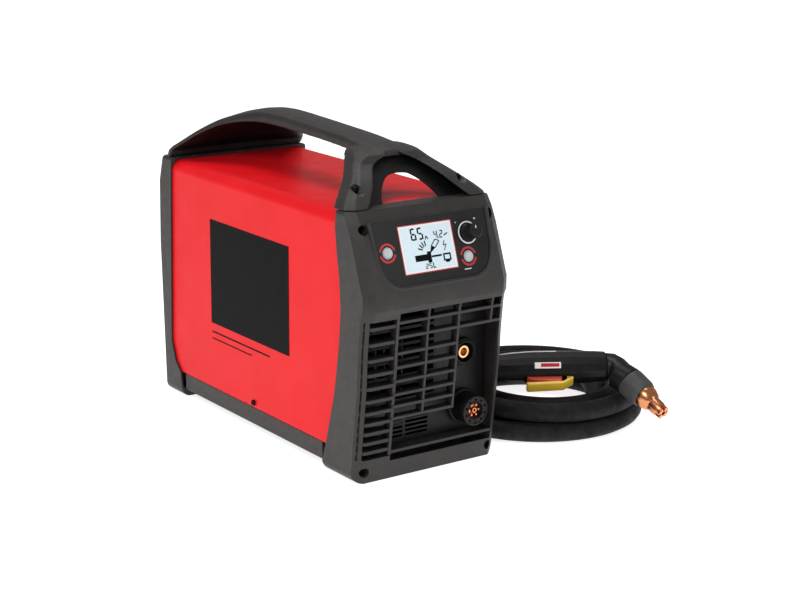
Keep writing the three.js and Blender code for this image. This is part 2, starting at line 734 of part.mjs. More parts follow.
function handleHalf(side) {
  const corners = [0.02, 0.5, 1.05, Math.PI / 2, 2.1, 2.64, Math.PI - 0.02];
  const sections = HANDLE_STATIONS.map(([x, up, down, thick]) => corners.map((a) => {
    const z = Math.cos(a) > 0 ? up * Math.cos(a) : down * Math.cos(a);
    return [x, side * (0.15 + thick * Math.sin(a) ** 0.8), z];
  }));
  const bore = box(-140, -8, -8, 8, -8, 8);
  const slot = box(-107, -43, -5.4, 5.4, -40, 0);
  const neckBore = rod(9.3, -20, 10, 16).rotateY(Math.PI / 2);
  return cut(loft(sections), bore, slot, neckBore);
}

const HEAD_REACH = 40;

function torchHead() {
  const sections = [];
  const turn = [[0, -7.7, 8.5], [0, 0.4, 8.5], [0, 0.6, 18], [0.3, 9, 18.6], [0.75, 17, 19.2],
    [1, 24, 19.6], [1, HEAD_REACH, 19.4]];
  for (const [share, reach, radius] of turn) {
    const angle = share * HEAD_BEND;
    const cx = reach * Math.cos(angle * 0.75);
    const cz = -reach * Math.sin(angle * 0.75);
    const section = [];
    for (let i = 0; i < 16; i += 1) {
      const a = (i * Math.PI) / 8;
      const v = radius * Math.cos(a);
      section.push([cx + v * Math.sin(angle), radius * Math.sin(a), cz + v * Math.cos(angle)]);
    }
    sections.push(section);
  }
  return loft(sections);
}

// Pieces turned about the nozzle axis, from the end of the head.
const nozzle = new THREE.Group();
nozzle.position.set(
  HEAD_REACH * Math.cos(HEAD_BEND * 0.75), 0, -HEAD_REACH * Math.sin(HEAD_BEND * 0.75),
);
nozzle.rotation.y = Math.PI / 2 + HEAD_BEND;
torch.add(nozzle);

function torchCap() {
  return turned([
    [0, 0.4], [18.6, 0.4], [19.6, 2], [19, 24], [17, 30], [0, 30],
  ], 28);
}

function torchNozzle() {
  const cone = turned([
    [0, 30.4], [15.6, 30.4], [15.6, 36], [12.8, 44], [10.2, 47], [10.2, 58], [9, 61], [9, 67],
    [0, 67],
  ], 24);
  const notches = [];
  for (let i = 0; i < 4; i += 1) {
    notches.push(box(4.5, 14, -1.8, 1.8, 61.5, 70).rotateZ((i * Math.PI) / 2));
  }
  return cut(cone, ...notches, rod(3.2, 60, 70, 10));
}

const TRIGGER_PIVOT = [-101, -17];
const SAFETY_PIVOT = [-49, -20.5];

function torchTrigger() {
  const side = outline([
    [-3, -4], [4, -8], [36, -12], [42, -10.5], [43, 0.5], [5, 3], [-2, 3],
  ]);
  return alongY(side, -4.9, 4.9);
}

// A bail that stands over the trigger until it is swung away.
function torchSafety() {
  const plate = outline([
    [-57, -11.5], [-55, -16], [-8, -13.5], [5.5, -4.5], [4.5, -2], [-8, -9.5], [-53, -11],
  ]);
  const tab = outline([[-3, -7], [3.4, -4.4], [3.4, 3], [-3, 3]]);
  return join(alongY(plate, -7.5, 7.5), alongY(tab, -4.9, 4.9));
}

// ---- Coiled lead and its plug ----------------------------------------------------------
function leadTube(points, steps) {
  const path = new THREE.CatmullRomCurve3(points.map((p) => new THREE.Vector3(...p)));
  const section = new THREE.Shape();
  for (let i = 0; i < 12; i += 1) {
    const a = (i * Math.PI) / 6;
    const at = [(LEAD_D / 2) * Math.cos(a), (LEAD_D / 2) * Math.sin(a)];
    if (i === 0) {
      section.moveTo(...at);
    } else {
      section.lineTo(...at);
    }
  }
  return new THREE.ExtrudeGeometry(section, { steps, extrudePath: path, bevelEnabled: false });
}

const LEAD_TOP = COIL_TOP + LEAD_D / 2 + 0.6;
const LEAD_START = [
  [150.9, 56.7, 80.2], [143.8, 61.7, 79.7], [137, 69.6, 77.8], [131.9, 80.6, 74.4],
  [129.8, 91.5, 70.8], [130.4, 102.5, 67.4], [133.2, 113.5, 64.7], [137.4, 124.8, LEAD_TOP],
  [142.7, 136, LEAD_TOP],
];
const LEAD_END = [
  [123, 160, 12.9], [123.3, 176, 13.2], [124.7, 192, 14.4], [127, 208, 17],
  [129.4, 223, 19.8], [130.8, 236, 21.4], [131, 247.2, 21.6],
];

function coil() {
  const r = 9;
  const profile = [
    [COIL_HOLE, r], [COIL_HOLE + r, 0], [COIL_R - r, 0], [COIL_R, r],
    [COIL_R, COIL_TOP - r], [COIL_R - r, COIL_TOP], [COIL_HOLE + r, COIL_TOP],
    [COIL_HOLE, COIL_TOP - r],
  ];
  return turned(profile, 40).translate(...COIL_AT, 0);
}

// Pieces of the central plug, turned about +Y from its boot.
function plugPiece(profile) {
  return facingRear(turned(profile, 24), ...PLUG_AT);
}

// ---- Assembly --------------------------------------------------------------------------
add('cover_shell', coverShell(), 'red');
add('base_tray', baseTray(), 'plastic');
add('front_bezel', frontBezel(), 'plastic');
add('rear_bezel', rearBezel(), 'plastic');
add('rear_plate', rearPlate(), 'zinc');
add('handle_shell', handleShell(), 'plastic');
add('handle_underside', handleUnderside(), 'black');
add('socket_panel', socketPanel(), 'zinc');

add('earth_socket_body', earthSocketBody(), 'black');
add('earth_socket_contact', earthSocketContact(), 'brass');
add('torch_adapter_body', torchAdapterBody(), 'black');
add('torch_adapter_core', torchAdapterCore(), 'copper');

add('control_fascia', fascia(), 'black', panel);
add('display_window', displayWindow(), 'screen', panel);
add('display_module', screenBox(2, 2, -7.6, -3), 'board', panel);
add('control_board', box(-70, 72, -33, 31, -17.6, -16), 'board', panel);
add('encoder_body', encoderBody().translate(...KNOB_AT, 0), 'zinc', panel);
add('encoder_knob', encoderKnob(), 'black', panel).position.set(...KNOB_AT, 0);
add('mode_button', buttonCap(), 'grey', panel).position.set(...MODE_AT, 0);
add('info_button', buttonCap(), 'grey', panel).position.set(...INFO_AT, 0);

FRONT_SCREWS.forEach(([x, z, y], i) => {
  const place = `${z > 100 ? 'top' : 'bottom'}_${x < 0 ? 'left' : 'right'}`;
  add(`front_screw_${place}`, facingFront(screw(4.6), x, y - GAP, z), 'zinc');
});
for (const side of [-1, 1]) {
  const where = side < 0 ? 'left' : 'right';
  const turnOut = side * Math.PI / 2;
  const [x, z, floor] = HANDLE_SCREW;
  add(`handle_screw_${where}`, facingFront(screw(4.4), side * x, floor - GAP, z), 'zinc');
  const sideScrew = screw(4).rotateY(turnOut);
  add(`cover_screw_${where}`, sideScrew.translate(side * (COVER_HALF + GAP), ...SIDE_SCREW), 'zinc');
}
REAR_SCREWS.forEach(([x, z]) => {
  const place = `${z > 100 ? 'top' : 'bottom'}_${x < 0 ? 'left' : 'right'}`;
  add(`rear_screw_${place}`, facingRear(screw(4.6), x, REAR_PLATE_Y + 7.8, z), 'zinc');
});

add('fan_frame', fanFrame(), 'black');
add('fan_rotor', fanRotor(), 'black').position.set(FAN_AT[0], REAR_PLATE_Y, FAN_AT[1]);
add('power_switch_body', switchBody(), 'black');
add('power_switch_knob', switchKnob(), 'black').position.set(SWITCH_AT[0], REAR_PLATE_Y, SWITCH_AT[1]);
add('cable_gland', cableGland(), 'black');

const REGULATOR_STEM = [REGULATOR_AT[0], REAR_PLATE_Y + REGULATOR_OUT, REGULATOR_AT[1]];
add('regulator_body', regulatorBody(), 'steel');
const knobProfile = [[0, 26.4], [13, 26.4], [14, 29], [13, 42], [10, 45], [0, 45]];
add('regulator_knob', turned(knobProfile, 20), 'black').position.set(...REGULATOR_STEM);
const bowlProfile = [[0, -62], [8, -62], [12.5, -56], [13, -20.4], [0, -20.4]];
add('filter_bowl', turned(bowlProfile, 20), 'grey').position.set(...REGULATOR_STEM);
const inletProfile = [
  [0, 31.4], [8, 31.4], [8, 36], [5, 38], [5.6, 43], [4.6, 47], [0, 47],
];
const inlet = facingRear(turned(inletProfile, 16), REGULATOR_AT[0], REAR_PLATE_Y, REGULATOR_AT[1]);
add('air_inlet', inlet, 'brass');

function heatSink() {
  const fins = [];
  for (let k = 0; k < 9; k += 1) {
    fins.push(box(-60 + k * 14, -57 + k * 14, 90, 290, 78, 128));
  }
  return join(box(-60, 55, 90, 290, 72, 79), ...fins);
}

add('heat_sink', heatSink(), 'steel');
add('power_board', box(-92, 92, 60, 360, 190, 192), 'board');
const core = box(-40, 40, 120, 190, 15, 60);
const windings = box(-28, 28, 105, 205, 20, 55);
add('transformer', join(core, windings), 'steel');
add('capacitor', rod(25, 192.4, 270, 24).translate(-45, 160, 0), 'black');
const valveBlock = box(35, 75, 255, 295, 15, 45);
add('air_valve', join(valveBlock, rod(12, 44, 68, 16).translate(55, 275, 0)), 'brass');

add('torch_handle_left', handleHalf(1), 'black', torch);
add('torch_handle_right', handleHalf(-1), 'black', torch);
add('torch_head', torchHead(), 'black', torch);
add('torch_cap', torchCap(), 'grey', nozzle);
add('torch_nozzle', torchNozzle(), 'copper', nozzle);
const trigger = add('torch_trigger', torchTrigger(), 'orange', torch);
trigger.position.set(TRIGGER_PIVOT[0], 0, TRIGGER_PIVOT[1]);
const safety = add('torch_safety', torchSafety(), 'yellow', torch);
safety.position.set(SAFETY_PIVOT[0], 0, SAFETY_PIVOT[1]);
const bootProfile = [[0, 0.4], [13, 0.4], [13.5, 6], [13, 21.6], [0, 21.6]];
const boot = turned(bootProfile, 20).rotateY(-Math.PI / 2).translate(-HANDLE_LONG, 0, 0);
add('torch_boot', boot, 'rubber', torch);

add('torch_lead_start', leadTube(LEAD_START, 10), 'rubber');
add('lead_coil', coil(), 'rubber');
add('torch_lead_end', leadTube(LEAD_END, 7), 'rubber');
const plugBoot = [[0, 0], [13, 0], [14.5, 4], [17, 34], [0, 34]];
const plugNut = [[0, 34.4], [20.5, 34.4], [21.2, 38], [21.2, 60], [19, 63], [0, 63]];
const plugBody = [[0, 63.4], [17, 63.4], [17, 84], [10, 86], [10, 100], [0, 100]];
add('lead_plug_boot', plugPiece(plugBoot), 'rubber');
add('lead_plug_nut', plugPiece(plugNut), 'black');
add('lead_plug_body', plugPiece(plugBody), 'brass');

export default root;
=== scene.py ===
"""Portable plasma cutter with its torch: the looks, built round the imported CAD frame. Metres."""
import json
import math
import bmesh
import bpy
from mathutils import Matrix, Vector
from mathutils.bvhtree import BVHTree


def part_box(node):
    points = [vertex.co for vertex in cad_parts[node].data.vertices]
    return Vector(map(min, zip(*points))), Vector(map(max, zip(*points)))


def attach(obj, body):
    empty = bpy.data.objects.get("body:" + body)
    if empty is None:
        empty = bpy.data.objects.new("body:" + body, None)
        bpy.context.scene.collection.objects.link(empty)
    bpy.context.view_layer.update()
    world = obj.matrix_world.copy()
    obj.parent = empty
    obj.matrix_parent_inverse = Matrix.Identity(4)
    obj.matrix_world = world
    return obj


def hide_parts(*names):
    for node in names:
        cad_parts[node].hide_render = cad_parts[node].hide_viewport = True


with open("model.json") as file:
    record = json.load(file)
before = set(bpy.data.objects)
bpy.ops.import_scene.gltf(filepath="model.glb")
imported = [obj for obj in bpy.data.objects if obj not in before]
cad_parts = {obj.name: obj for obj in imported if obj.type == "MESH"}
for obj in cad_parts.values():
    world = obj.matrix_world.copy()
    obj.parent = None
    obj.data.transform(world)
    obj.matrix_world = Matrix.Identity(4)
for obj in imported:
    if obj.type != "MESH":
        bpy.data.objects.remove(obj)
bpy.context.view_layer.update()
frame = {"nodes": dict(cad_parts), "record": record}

MM = 0.001
UNIT = "unit"
scene = bpy.context.scene


# ---- Camera ---------------------------------------------------------------------------------
def make_camera():
    """The camera looks 14.8 degrees down from the front left."""
    yaw, pitch, roll = math.radians(35.6), math.radians(14.8), math.radians(0.5)
    data = bpy.data.cameras.new("camera")
    data.lens = 83.25
    data.sensor_width = 36.0
    data.clip_end = 50.0
    camera = bpy.data.objects.new("camera", data)
    turn = (
        Matrix.Rotation(-yaw, 4, "Z")
        @ Matrix.Rotation(math.pi / 2 - pitch, 4, "X")
        @ Matrix.Rotation(roll, 4, "Z")
    )
    camera.matrix_world = Matrix.Translation((-1.2853, -1.7732, 0.7862)) @ turn
    scene.collection.objects.link(camera)
    scene.camera = camera


# ---- Materials ------------------------------------------------------------------------------
def ramp(tree, source, low, high, at=(0.3, 0.7)):
    """A colour ramp from low to high driven by a node's factor."""
    made = tree.nodes.new("ShaderNodeValToRGB")
    made.color_ramp.elements[0].position = at[0]
    made.color_ramp.elements[1].position = at[1]
    made.color_ramp.elements[0].color = (*low, 1)
    made.color_ramp.elements[1].color = (*high, 1)
    tree.links.new(source, made.inputs["Fac"])
    return made.outputs["Color"]


def noise(tree, coords, scale, detail=4.0):
    made = tree.nodes.new("ShaderNodeTexNoise")
    made.inputs["Scale"].default_value = scale
    made.inputs["Detail"].default_value = detail
    tree.links.new(coords, made.inputs["Vector"])
    return made.outputs["Fac"]


def spread(tree, source, low, high):
    made = tree.nodes.new("ShaderNodeMapRange")
    made.inputs["From Min"].default_value = 0.3
    made.inputs["From Max"].default_value = 0.7
    made.inputs["To Min"].default_value = low
    made.inputs["To Max"].default_value = high
    tree.links.new(source, made.inputs["Value"])
    return made.outputs["Result"]


def bumped(tree, shader, height, strength, distance):
    made = tree.nodes.new("ShaderNodeBump")
    made.inputs["Strength"].default_value = strength
    made.inputs["Distance"].default_value = distance
    tree.links.new(height, made.inputs["Height"])
    tree.links.new(made.outputs["Normal"], shader.inputs["Normal"])


def start(name):
    """A new node material: its tree, its shader and its object coordinates."""
    made = bpy.data.materials.new(name)
    made.use_nodes = True
    tree = made.node_tree
    coords = tree.nodes.new("ShaderNodeTexCoord").outputs["Object"]
    return made, tree, tree.nodes["Principled BSDF"], coords


def mottled(name, low, high, rough, metal=0.0, patch=60.0, grain=2200.0, bump=0.25, depth=0.0002,
            coat=0.0, specular=0.5):
    """Moulded plastic, paint or metal: slow colour drift, fine grain in the surface."""
    made, tree, shader, coords = start(name)
    tree.links.new(
        ramp(tree, noise(tree, coords, patch, 6.0), low, high), shader.inputs["Base Color"]
    )
    tree.links.new(
        spread(tree, noise(tree, coords, patch * 3), rough[0], rough[1]),
        shader.inputs["Roughness"],
    )
    shader.inputs["Metallic"].default_value = metal
    shader.inputs["Coat Weight"].default_value = coat
    shader.inputs["Coat Roughness"].default_value = 0.12
    shader.inputs["Specular IOR Level"].default_value = specular
    bumped(tree, shader, noise(tree, coords, grain, 2.0), bump, depth)
    return made


def glowing(name, *colours, **options):
    """A pale backdrop bright enough to stay white under soft light."""
    made = mottled(name, *colours, **options)
    shader = made.node_tree.nodes["Principled BSDF"]
    shader.inputs["Emission Color"].default_value = (1, 1, 1, 1)
    shader.inputs["Emission Strength"].default_value = 0.8
    return made


def brushed(name, low, high, rough, stretch):
    """Turned or brushed metal: fine lines along one direction."""
    made, tree, shader, coords = start(name)
    mapping = tree.nodes.new("ShaderNodeMapping")
    mapping.inputs["Scale"].default_value = stretch
    tree.links.new(coords, mapping.inputs["Vector"])
    lines = noise(tree, mapping.outputs["Vector"], 600.0, 6.0)
    tree.links.new(ramp(tree, lines, low, high), shader.inputs["Base Color"])
    tree.links.new(spread(tree, lines, rough[0], rough[1]), shader.inputs["Roughness"])
    shader.inputs["Metallic"].default_value = 1.0
    bumped(tree, shader, lines, 0.15, 0.0001)
    return made


def wave(tree, coords, scale):
    made = tree.nodes.new("ShaderNodeTexWave")
    made.wave_type = "BANDS"
    made.bands_direction = "X"
    made.wave_profile = "TRI"
    made.inputs["Scale"].default_value = scale
    tree.links.new(coords, made.inputs["Vector"])
    return made.outputs["Fac"]


def carbon():
    """Black film printed with fine diagonal stripes."""
    made, tree, shader, coords = start("carbon_film")
    mapping = tree.nodes.new("ShaderNodeMapping")
    mapping.inputs["Rotation"].default_value = (0, math.radians(-58), 0)
    tree.links.new(coords, mapping.inputs["Vector"])
    stripes = wave(tree, mapping.outputs["Vector"], 150.0)
    tree.links.new(
        ramp(tree, stripes, (0.002, 0.002, 0.002), (0.050, 0.050, 0.053), (0.55, 0.72)),
        shader.inputs["Base Color"],
    )
    tree.links.new(spread(tree, stripes, 0.32, 0.22), shader.inputs["Roughness"])
    shader.inputs["Specular IOR Level"].default_value = 0.12
    bumped(tree, shader, stripes, 0.15, 0.0001)
    return made


def sheath():
    """Black woven sheath over the torch lead."""
    made, tree, shader, coords = start("lead_sheath")
    one = tree.nodes.new("ShaderNodeMapping")
    one.inputs["Rotation"].default_value = (0.5, 0.3, math.radians(35))
    two = tree.nodes.new("ShaderNodeMapping")
    two.inputs["Rotation"].default_value = (-0.5, 0.3, math.radians(-40))
    tree.links.new(coords, one.inputs["Vector"])
    tree.links.new(coords, two.inputs["Vector"])
    mix = tree.nodes.new("ShaderNodeMath")
    mix.operation = "MAXIMUM"
    tree.links.new(wave(tree, one.outputs["Vector"], 260.0), mix.inputs[0])
    tree.links.new(wave(tree, two.outputs["Vector"], 260.0), mix.inputs[1])
    tree.links.new(
        ramp(tree, noise(tree, coords, 45.0, 8.0), (0.004, 0.004, 0.005), (0.013, 0.013, 0.014)),
        shader.inputs["Base Color"],
    )
    tree.links.new(
        spread(tree, noise(tree, coords, 120.0), 0.55, 0.85), shader.inputs["Roughness"]
    )
    shader.inputs["Sheen Weight"].default_value = 0.03
    shader.inputs["Specular IOR Level"].default_value = 0.18
    bumped(tree, shader, mix.outputs["Value"], 0.5, 0.0004)
    return made


def make_materials():
    charcoal = mottled("charcoal_plastic", (0.024, 0.022, 0.021), (0.033, 0.030, 0.028),
                       (0.42, 0.54), grain=1900.0, bump=0.3, depth=0.00025, specular=0.35)
    return {
        "housing": charcoal,
        "cover": mottled("red_powder_coat", (0.80, 0.006, 0.010), (0.86, 0.010, 0.016),
                         (0.38, 0.48), patch=12.0, grain=700.0, bump=0.08, coat=0.04,
                         specular=0.12),
        # This black is used for real black parts, and also as painted shade on the shaded underside
        # and inner faces of the handle and on the fork's inner wall.
        "black_plastic": mottled("black_plastic", (0.004, 0.004, 0.004), (0.008, 0.008, 0.008),
                                 (0.32, 0.46), grain=1600.0, specular=0.22),
        # This near-black is the sheet's black coating, made darker still as painted shade for the
        # recess behind the grille bars and for the inside of the cover.
        "coated_sheet": mottled("coated_sheet", (0.004, 0.004, 0.004), (0.008, 0.008, 0.009),
                                (0.42, 0.55), grain=1200.0, specular=0.3),
        "fascia": carbon(),
        "display": mottled("screen_blue", (0.66, 0.80, 0.88), (0.72, 0.85, 0.92), (0.14, 0.20),
                           patch=25.0, grain=300.0, bump=0.02),
        "print_white": mottled("print_white", (0.82, 0.82, 0.83), (0.88, 0.88, 0.88),
                               (0.35, 0.45), patch=300.0),
        "print_red": mottled("print_red", (0.42, 0.006, 0.012), (0.52, 0.010, 0.018),
                             (0.30, 0.40), patch=300.0),
        "print_black": mottled("print_black", (0.003, 0.003, 0.003), (0.005, 0.005, 0.006),
                               (0.50, 0.62), patch=300.0, specular=0.06),
        "electronics": mottled("board_green", (0.01, 0.09, 0.03), (0.02, 0.14, 0.05), (0.35, 0.5)),
        "button": mottled("button_grey", (0.45, 0.47, 0.50), (0.58, 0.60, 0.62), (0.22, 0.35),
                          patch=200.0),
        "screw": brushed("blackened_steel", (0.010, 0.010, 0.011), (0.030, 0.030, 0.032),
                         (0.35, 0.5), (1, 1, 3)),
        "brass": brushed("bright_brass", (0.80, 0.48, 0.18), (0.95, 0.66, 0.34), (0.18, 0.32),
                         (1, 4, 1)),
        "copper": brushed("bright_copper", (0.50, 0.17, 0.07), (0.78, 0.33, 0.16), (0.14, 0.30),
                          (3, 1, 1)),
        "steel": brushed("satin_steel", (0.35, 0.35, 0.36), (0.55, 0.55, 0.56), (0.3, 0.45),
                         (1, 1, 4)),
        "alloy": brushed("extruded_alloy", (0.50, 0.50, 0.51), (0.66, 0.66, 0.67), (0.3, 0.45),
                         (1, 6, 1)),
        "bowl": mottled("smoked_bowl", (0.05, 0.055, 0.06), (0.09, 0.10, 0.11), (0.08, 0.16),
                        coat=0.4),
        "torch_trigger": mottled("trigger_red", (0.62, 0.07, 0.045), (0.72, 0.10, 0.06),
                                 (0.35, 0.5)),
        "torch_safety": mottled("safety_yellow", (0.70, 0.44, 0.030), (0.80, 0.54, 0.045),
                                (0.32, 0.45), coat=0.1),
        "torch_cap": mottled("cap_grey", (0.035, 0.038, 0.036), (0.050, 0.054, 0.051),
                             (0.45, 0.6)),
        "rubber": mottled("matt_rubber", (0.005, 0.005, 0.005), (0.010, 0.010, 0.010),
                          (0.55, 0.75), specular=0.3),
        "sheath": sheath(),
        "label_silver": mottled("label_silver", (0.60, 0.60, 0.61), (0.80, 0.80, 0.80),
                                (0.25, 0.4), patch=200.0),
        "floor": glowing("pale_floor", (0.86, 0.86, 0.86), (0.88, 0.88, 0.88), (0.6, 0.7),
                         patch=2.0, grain=40.0, bump=0.0, specular=0.1),
    }


# ---- Mesh helpers ---------------------------------------------------------------------------
def new_object(name, mesh_or_curve, look, body=UNIT):
    made = bpy.data.objects.new(name, mesh_or_curve)
    scene.collection.objects.link(made)
    made.data.materials.clear()
    made.data.materials.append(LOOKS[look])
    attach(made, body)
    return made


def mesh_from(name, points, faces):
    mesh = bpy.data.meshes.new(name)
    mesh.from_pydata([tuple(p) for p in points], [], faces)
    mesh.validate()
    return mesh


def face_outwards(mesh):
    """Turns every face of a closed mesh outwards."""
    work = bmesh.new()
    work.from_mesh(mesh)
    bmesh.ops.recalc_face_normals(work, faces=work.faces)
    work.to_mesh(mesh)
    work.free()


def shade(made, angle=35.0):
    """Smooth shading that keeps edges sharper than the angle."""
    for polygon in made.data.polygons:
        polygon.use_smooth = True
    edges = bmesh.new()
    edges.from_mesh(made.data)
    for edge in edges.edges:
        sharp = len(edge.link_faces) == 2 and edge.calc_face_angle(0) > math.radians(angle)
        edge.smooth = not sharp
    edges.to_mesh(made.data)
    edges.free()


def bevel(made, width, segments=2, angle=28.0):
    rounding = made.modifiers.new("edges", "BEVEL")
    rounding.width = width
    rounding.segments = segments
    rounding.limit_method = "ANGLE"
    rounding.angle_limit = math.radians(angle)
    rounding.use_clamp_overlap = True
    rounding.harden_normals = False
    normals = made.modifiers.new("normals", "WEIGHTED_NORMAL")
    normals.keep_sharp = True
    return made


def refined(cad, look, width=0.0006, segments=2, angle=28.0):
    """A finished copy of a CAD node: flats merged, edges rounded and shaded, its own name."""
    source = frame["nodes"][cad]
    mesh = source.data.copy()
    work = bmesh.new()
    work.from_mesh(mesh)
    bmesh.ops.remove_doubles(work, verts=work.verts, dist=2e-6)
    bmesh.ops.dissolve_limit(
        work, angle_limit=math.radians(1.2), verts=work.verts, edges=work.edges
    )
    work.to_mesh(mesh)
    work.free()
    made = new_object(cad + "_finish", mesh, look, BODY_OF[cad])
    shade(made, angle)
    if width:
        bevel(made, width, segments, angle)
    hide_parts(cad)
    return made


def lathe(name, look, profile, origin, axis, side, steps=64, body=UNIT):
    """A turned piece: [radius, height] points about an axis, closed where the radius is 0."""
    along = Vector(axis).normalized()
    u = (Vector(side) - along * Vector(side).dot(along)).normalized()
    v = along.cross(u)
    points, faces = [], []
    for radius, height in profile:
        for i in range(steps):
            a = 2 * math.pi * i / steps
            points.append(Vector(origin) + along * height
                          + (u * math.cos(a) + v * math.sin(a)) * radius)
    for row in range(len(profile) - 1):
        for i in range(steps):
            j = (i + 1) % steps
            faces.append((row * steps + i, row * steps + j,
                          (row + 1) * steps + j, (row + 1) * steps + i))
    mesh = mesh_from(name, points, faces)
    work = bmesh.new()
    work.from_mesh(mesh)
    bmesh.ops.remove_doubles(work, verts=work.verts, dist=1e-6)
    bmesh.ops.recalc_face_normals(work, faces=work.faces)
    work.to_mesh(mesh)
    work.free()
    made = new_object(name, mesh, look, body)
    shade(made, 32.0)
    return made


def arc(centre, radius, start_deg, end_deg, steps=24):
    """Points along an arc."""
    points = []
    for i in range(steps + 1):
        a = math.radians(start_deg + (end_deg - start_deg) * i / steps)
        points.append((centre[0] + radius * math.cos(a), centre[1] + radius * math.sin(a)))
    return points


def band(centre, inner, outer, start_deg, end_deg, steps=24):
    return arc(centre, outer, start_deg, end_deg, steps) + arc(
        centre, inner, end_deg, start_deg, steps
    )


def rectangle(x0, x1, y0, y1):
    return [(x0, y0), (x1, y0), (x1, y1), (x0, y1)]


def join_meshes(name, outlines, look, place, height, body=UNIT):
    """Several raised outlines as one printed piece."""
    origin, u, v, normal = place
    points, faces = [], []
    for outline in outlines:
        count, base = len(outline), len(points)
        flat = [origin + u * a + v * b for a, b in outline]
        points += flat + [p + normal * height for p in flat]
        faces.append(tuple(base + i for i in range(count))[::-1])
        faces.append(tuple(base + count + i for i in range(count)))
        for i in range(count):
            j = (i + 1) % count
            faces.append((base + i, base + j, base + count + j, base + count + i))
    mesh = mesh_from(name, points, faces)
    face_outwards(mesh)
    return new_object(name, mesh, look, body)


# ---- The record's facts ---------------------------------------------------------------------
RECORD = frame["record"]
BODY_OF = {name: body for body, names in RECORD["behaviour"]["bodies"].items() for name in names}
JOINT = {joint["name"]: joint for joint in RECORD["behaviour"]["joints"]}

make_camera()
LOOKS = make_materials()


# ---- Torch lead -----------------------------------------------------------------------------
LEAD_D = 25 * MM
COIL_LOW, COIL_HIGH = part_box("lead_coil")
COIL_AT = (COIL_LOW + COIL_HIGH) / 2
COIL_OUT = (COIL_HIGH.x - COIL_LOW.x) / 2
LEAD_START = [
    (150.9, 56.7, 80.2), (143.8, 61.7, 79.7), (137, 69.6, 77.8), (131.9, 80.6, 74.4),
    (129.8, 91.5, 70.8), (130.4, 102.5, 67.4), (133.2, 113.5, 64.7), (137.4, 124.8, 63.1),
]
LEAD_END = [
    (123, 160, 12.9), (123.3, 176, 13.2), (124.7, 192, 14.4), (127, 208, 17),
    (129.4, 223, 19.8), (130.8, 236, 21.4), (131, 247.2, 21.6),
]


def eased(t):
    t = min(1.0, max(0.0, t))
    return t * t * (3 - 2 * t)


def coil_points():
    """Spirals in on the upper layer, drops inside, and spirals out on the lower one.

    phi is the angle travelled clockwise, in degrees. Each step between rings takes 110 degrees,
    and the drop comes where the neighbouring ring doesn't step.
    """
    first = Vector(LEAD_START[-1]) * MM - COIL_AT
    begin = math.degrees(math.atan2(first.y, first.x))
    outer = COIL_OUT - LEAD_D / 2 - 0.3 * MM
    pitch = LEAD_D + 0.8 * MM
    top = COIL_HIGH.z - LEAD_D / 2 + 0.4 * MM
    low = COIL_LOW.z + LEAD_D / 2 + 0.1 * MM
    last = 4 * 360 + (begin - 180) % 360
    points = []
    phi = 4.0
    while phi < last:
        inward = eased((phi - 250) / 110) + eased((phi - 610) / 110)
        outward = eased((phi - 1020) / 110) + eased((phi - 1380) / 110)
        radius = outer - pitch * (inward - outward)
        height = LEAD_START[-1][2] * MM + (top - LEAD_START[-1][2] * MM) * eased(phi / 75)
        height += (low - top) * eased((phi - 870) / 90)
        if phi < 75:
            start_radius = math.hypot(first.x, first.y)
            radius = start_radius + (radius - start_radius) * eased(phi / 75)
        a = math.radians(begin - phi)
        points.append(
            (COIL_AT.x + radius * math.cos(a), COIL_AT.y + radius * math.sin(a), height)
        )
        phi += 4.0
    return points


def through(points, steps=4):
    """Points along a smooth line through the given ones."""
    given = [Vector(p) for p in points]
    ends = [2 * given[0] - given[1], *given, 2 * given[-1] - given[-2]]
    made = []
    for a, b, c, d in zip(ends, ends[1:], ends[2:], ends[3:]):
        for i in range(steps):
            t = i / steps
            made.append(0.5 * ((2 * b) + (c - a) * t + (2 * a - 5 * b + 4 * c - d) * t * t
                               + (3 * b - a - 3 * c + d) * t ** 3))
    made.append(given[-1])
    return made


def make_lead():
    route = [Vector(p) * MM for p in LEAD_START] + [Vector(p) for p in coil_points()]
    route += [Vector((LEAD_END[0][0] * MM, COIL_AT.y + reach * MM, LEAD_END[0][2] * MM))
              for reach in (6, 24, 42, 60)]
    route += [Vector(p) * MM for p in LEAD_END]
    line = through(route, 3)
    curve = bpy.data.curves.new("torch_lead", "CURVE")
    curve.dimensions = "3D"
    curve.bevel_depth = LEAD_D / 2
    curve.bevel_resolution = 5
    curve.use_fill_caps = True
    spline = curve.splines.new("POLY")
    spline.points.add(len(line) - 1)
    for point, at in zip(spline.points, line):
        point.co = (*at, 1)
    spline.use_smooth = True
    made = new_object("torch_lead", curve, "sheath")
    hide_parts("torch_lead_start", "lead_coil", "torch_lead_end")
    return made


# ---- Front panel ----------------------------------------------------------------------------
PANEL_NORMAL = Vector(JOINT["encoder_knob_turn"]["axis"]).normalized()
PANEL_U = Vector((1, 0, 0))
PANEL_V = PANEL_NORMAL.cross(PANEL_U)
KNOB = (54.6 * MM, 14.6 * MM)
MODE = (49.6 * MM, -14 * MM)
INFO = (-66 * MM, 4 * MM)
PANEL_AT = (Vector(JOINT["encoder_knob_turn"]["pos_m"]) - PANEL_U * KNOB[0] - PANEL_V * KNOB[1])
RIM_SINK = 0.4 * MM
FASCIA_FACE = -0.7 * MM
WINDOW_FACE = -0.8 * MM
SCREEN = (74 * MM, 54 * MM)
SCREEN_AT = (-7 * MM, 4 * MM)


def on_panel(height):
    return PANEL_AT + PANEL_NORMAL * height, PANEL_U, PANEL_V, PANEL_NORMAL


def frame_bands(half_u, half_v, wide, centre=SCREEN_AT):
    """The four strips of a rectangular frame."""
    cu, cv = centre
    return [
        rectangle(cu - half_u, cu + half_u, cv + half_v - wide, cv + half_v),
        rectangle(cu - half_u, cu + half_u, cv - half_v, cv - half_v + wide),
        rectangle(cu - half_u, cu - half_u + wide, cv - half_v + wide, cv + half_v - wide),
        rectangle(cu + half_u - wide, cu + half_u, cv - half_v + wide, cv + half_v - wide),
    ]


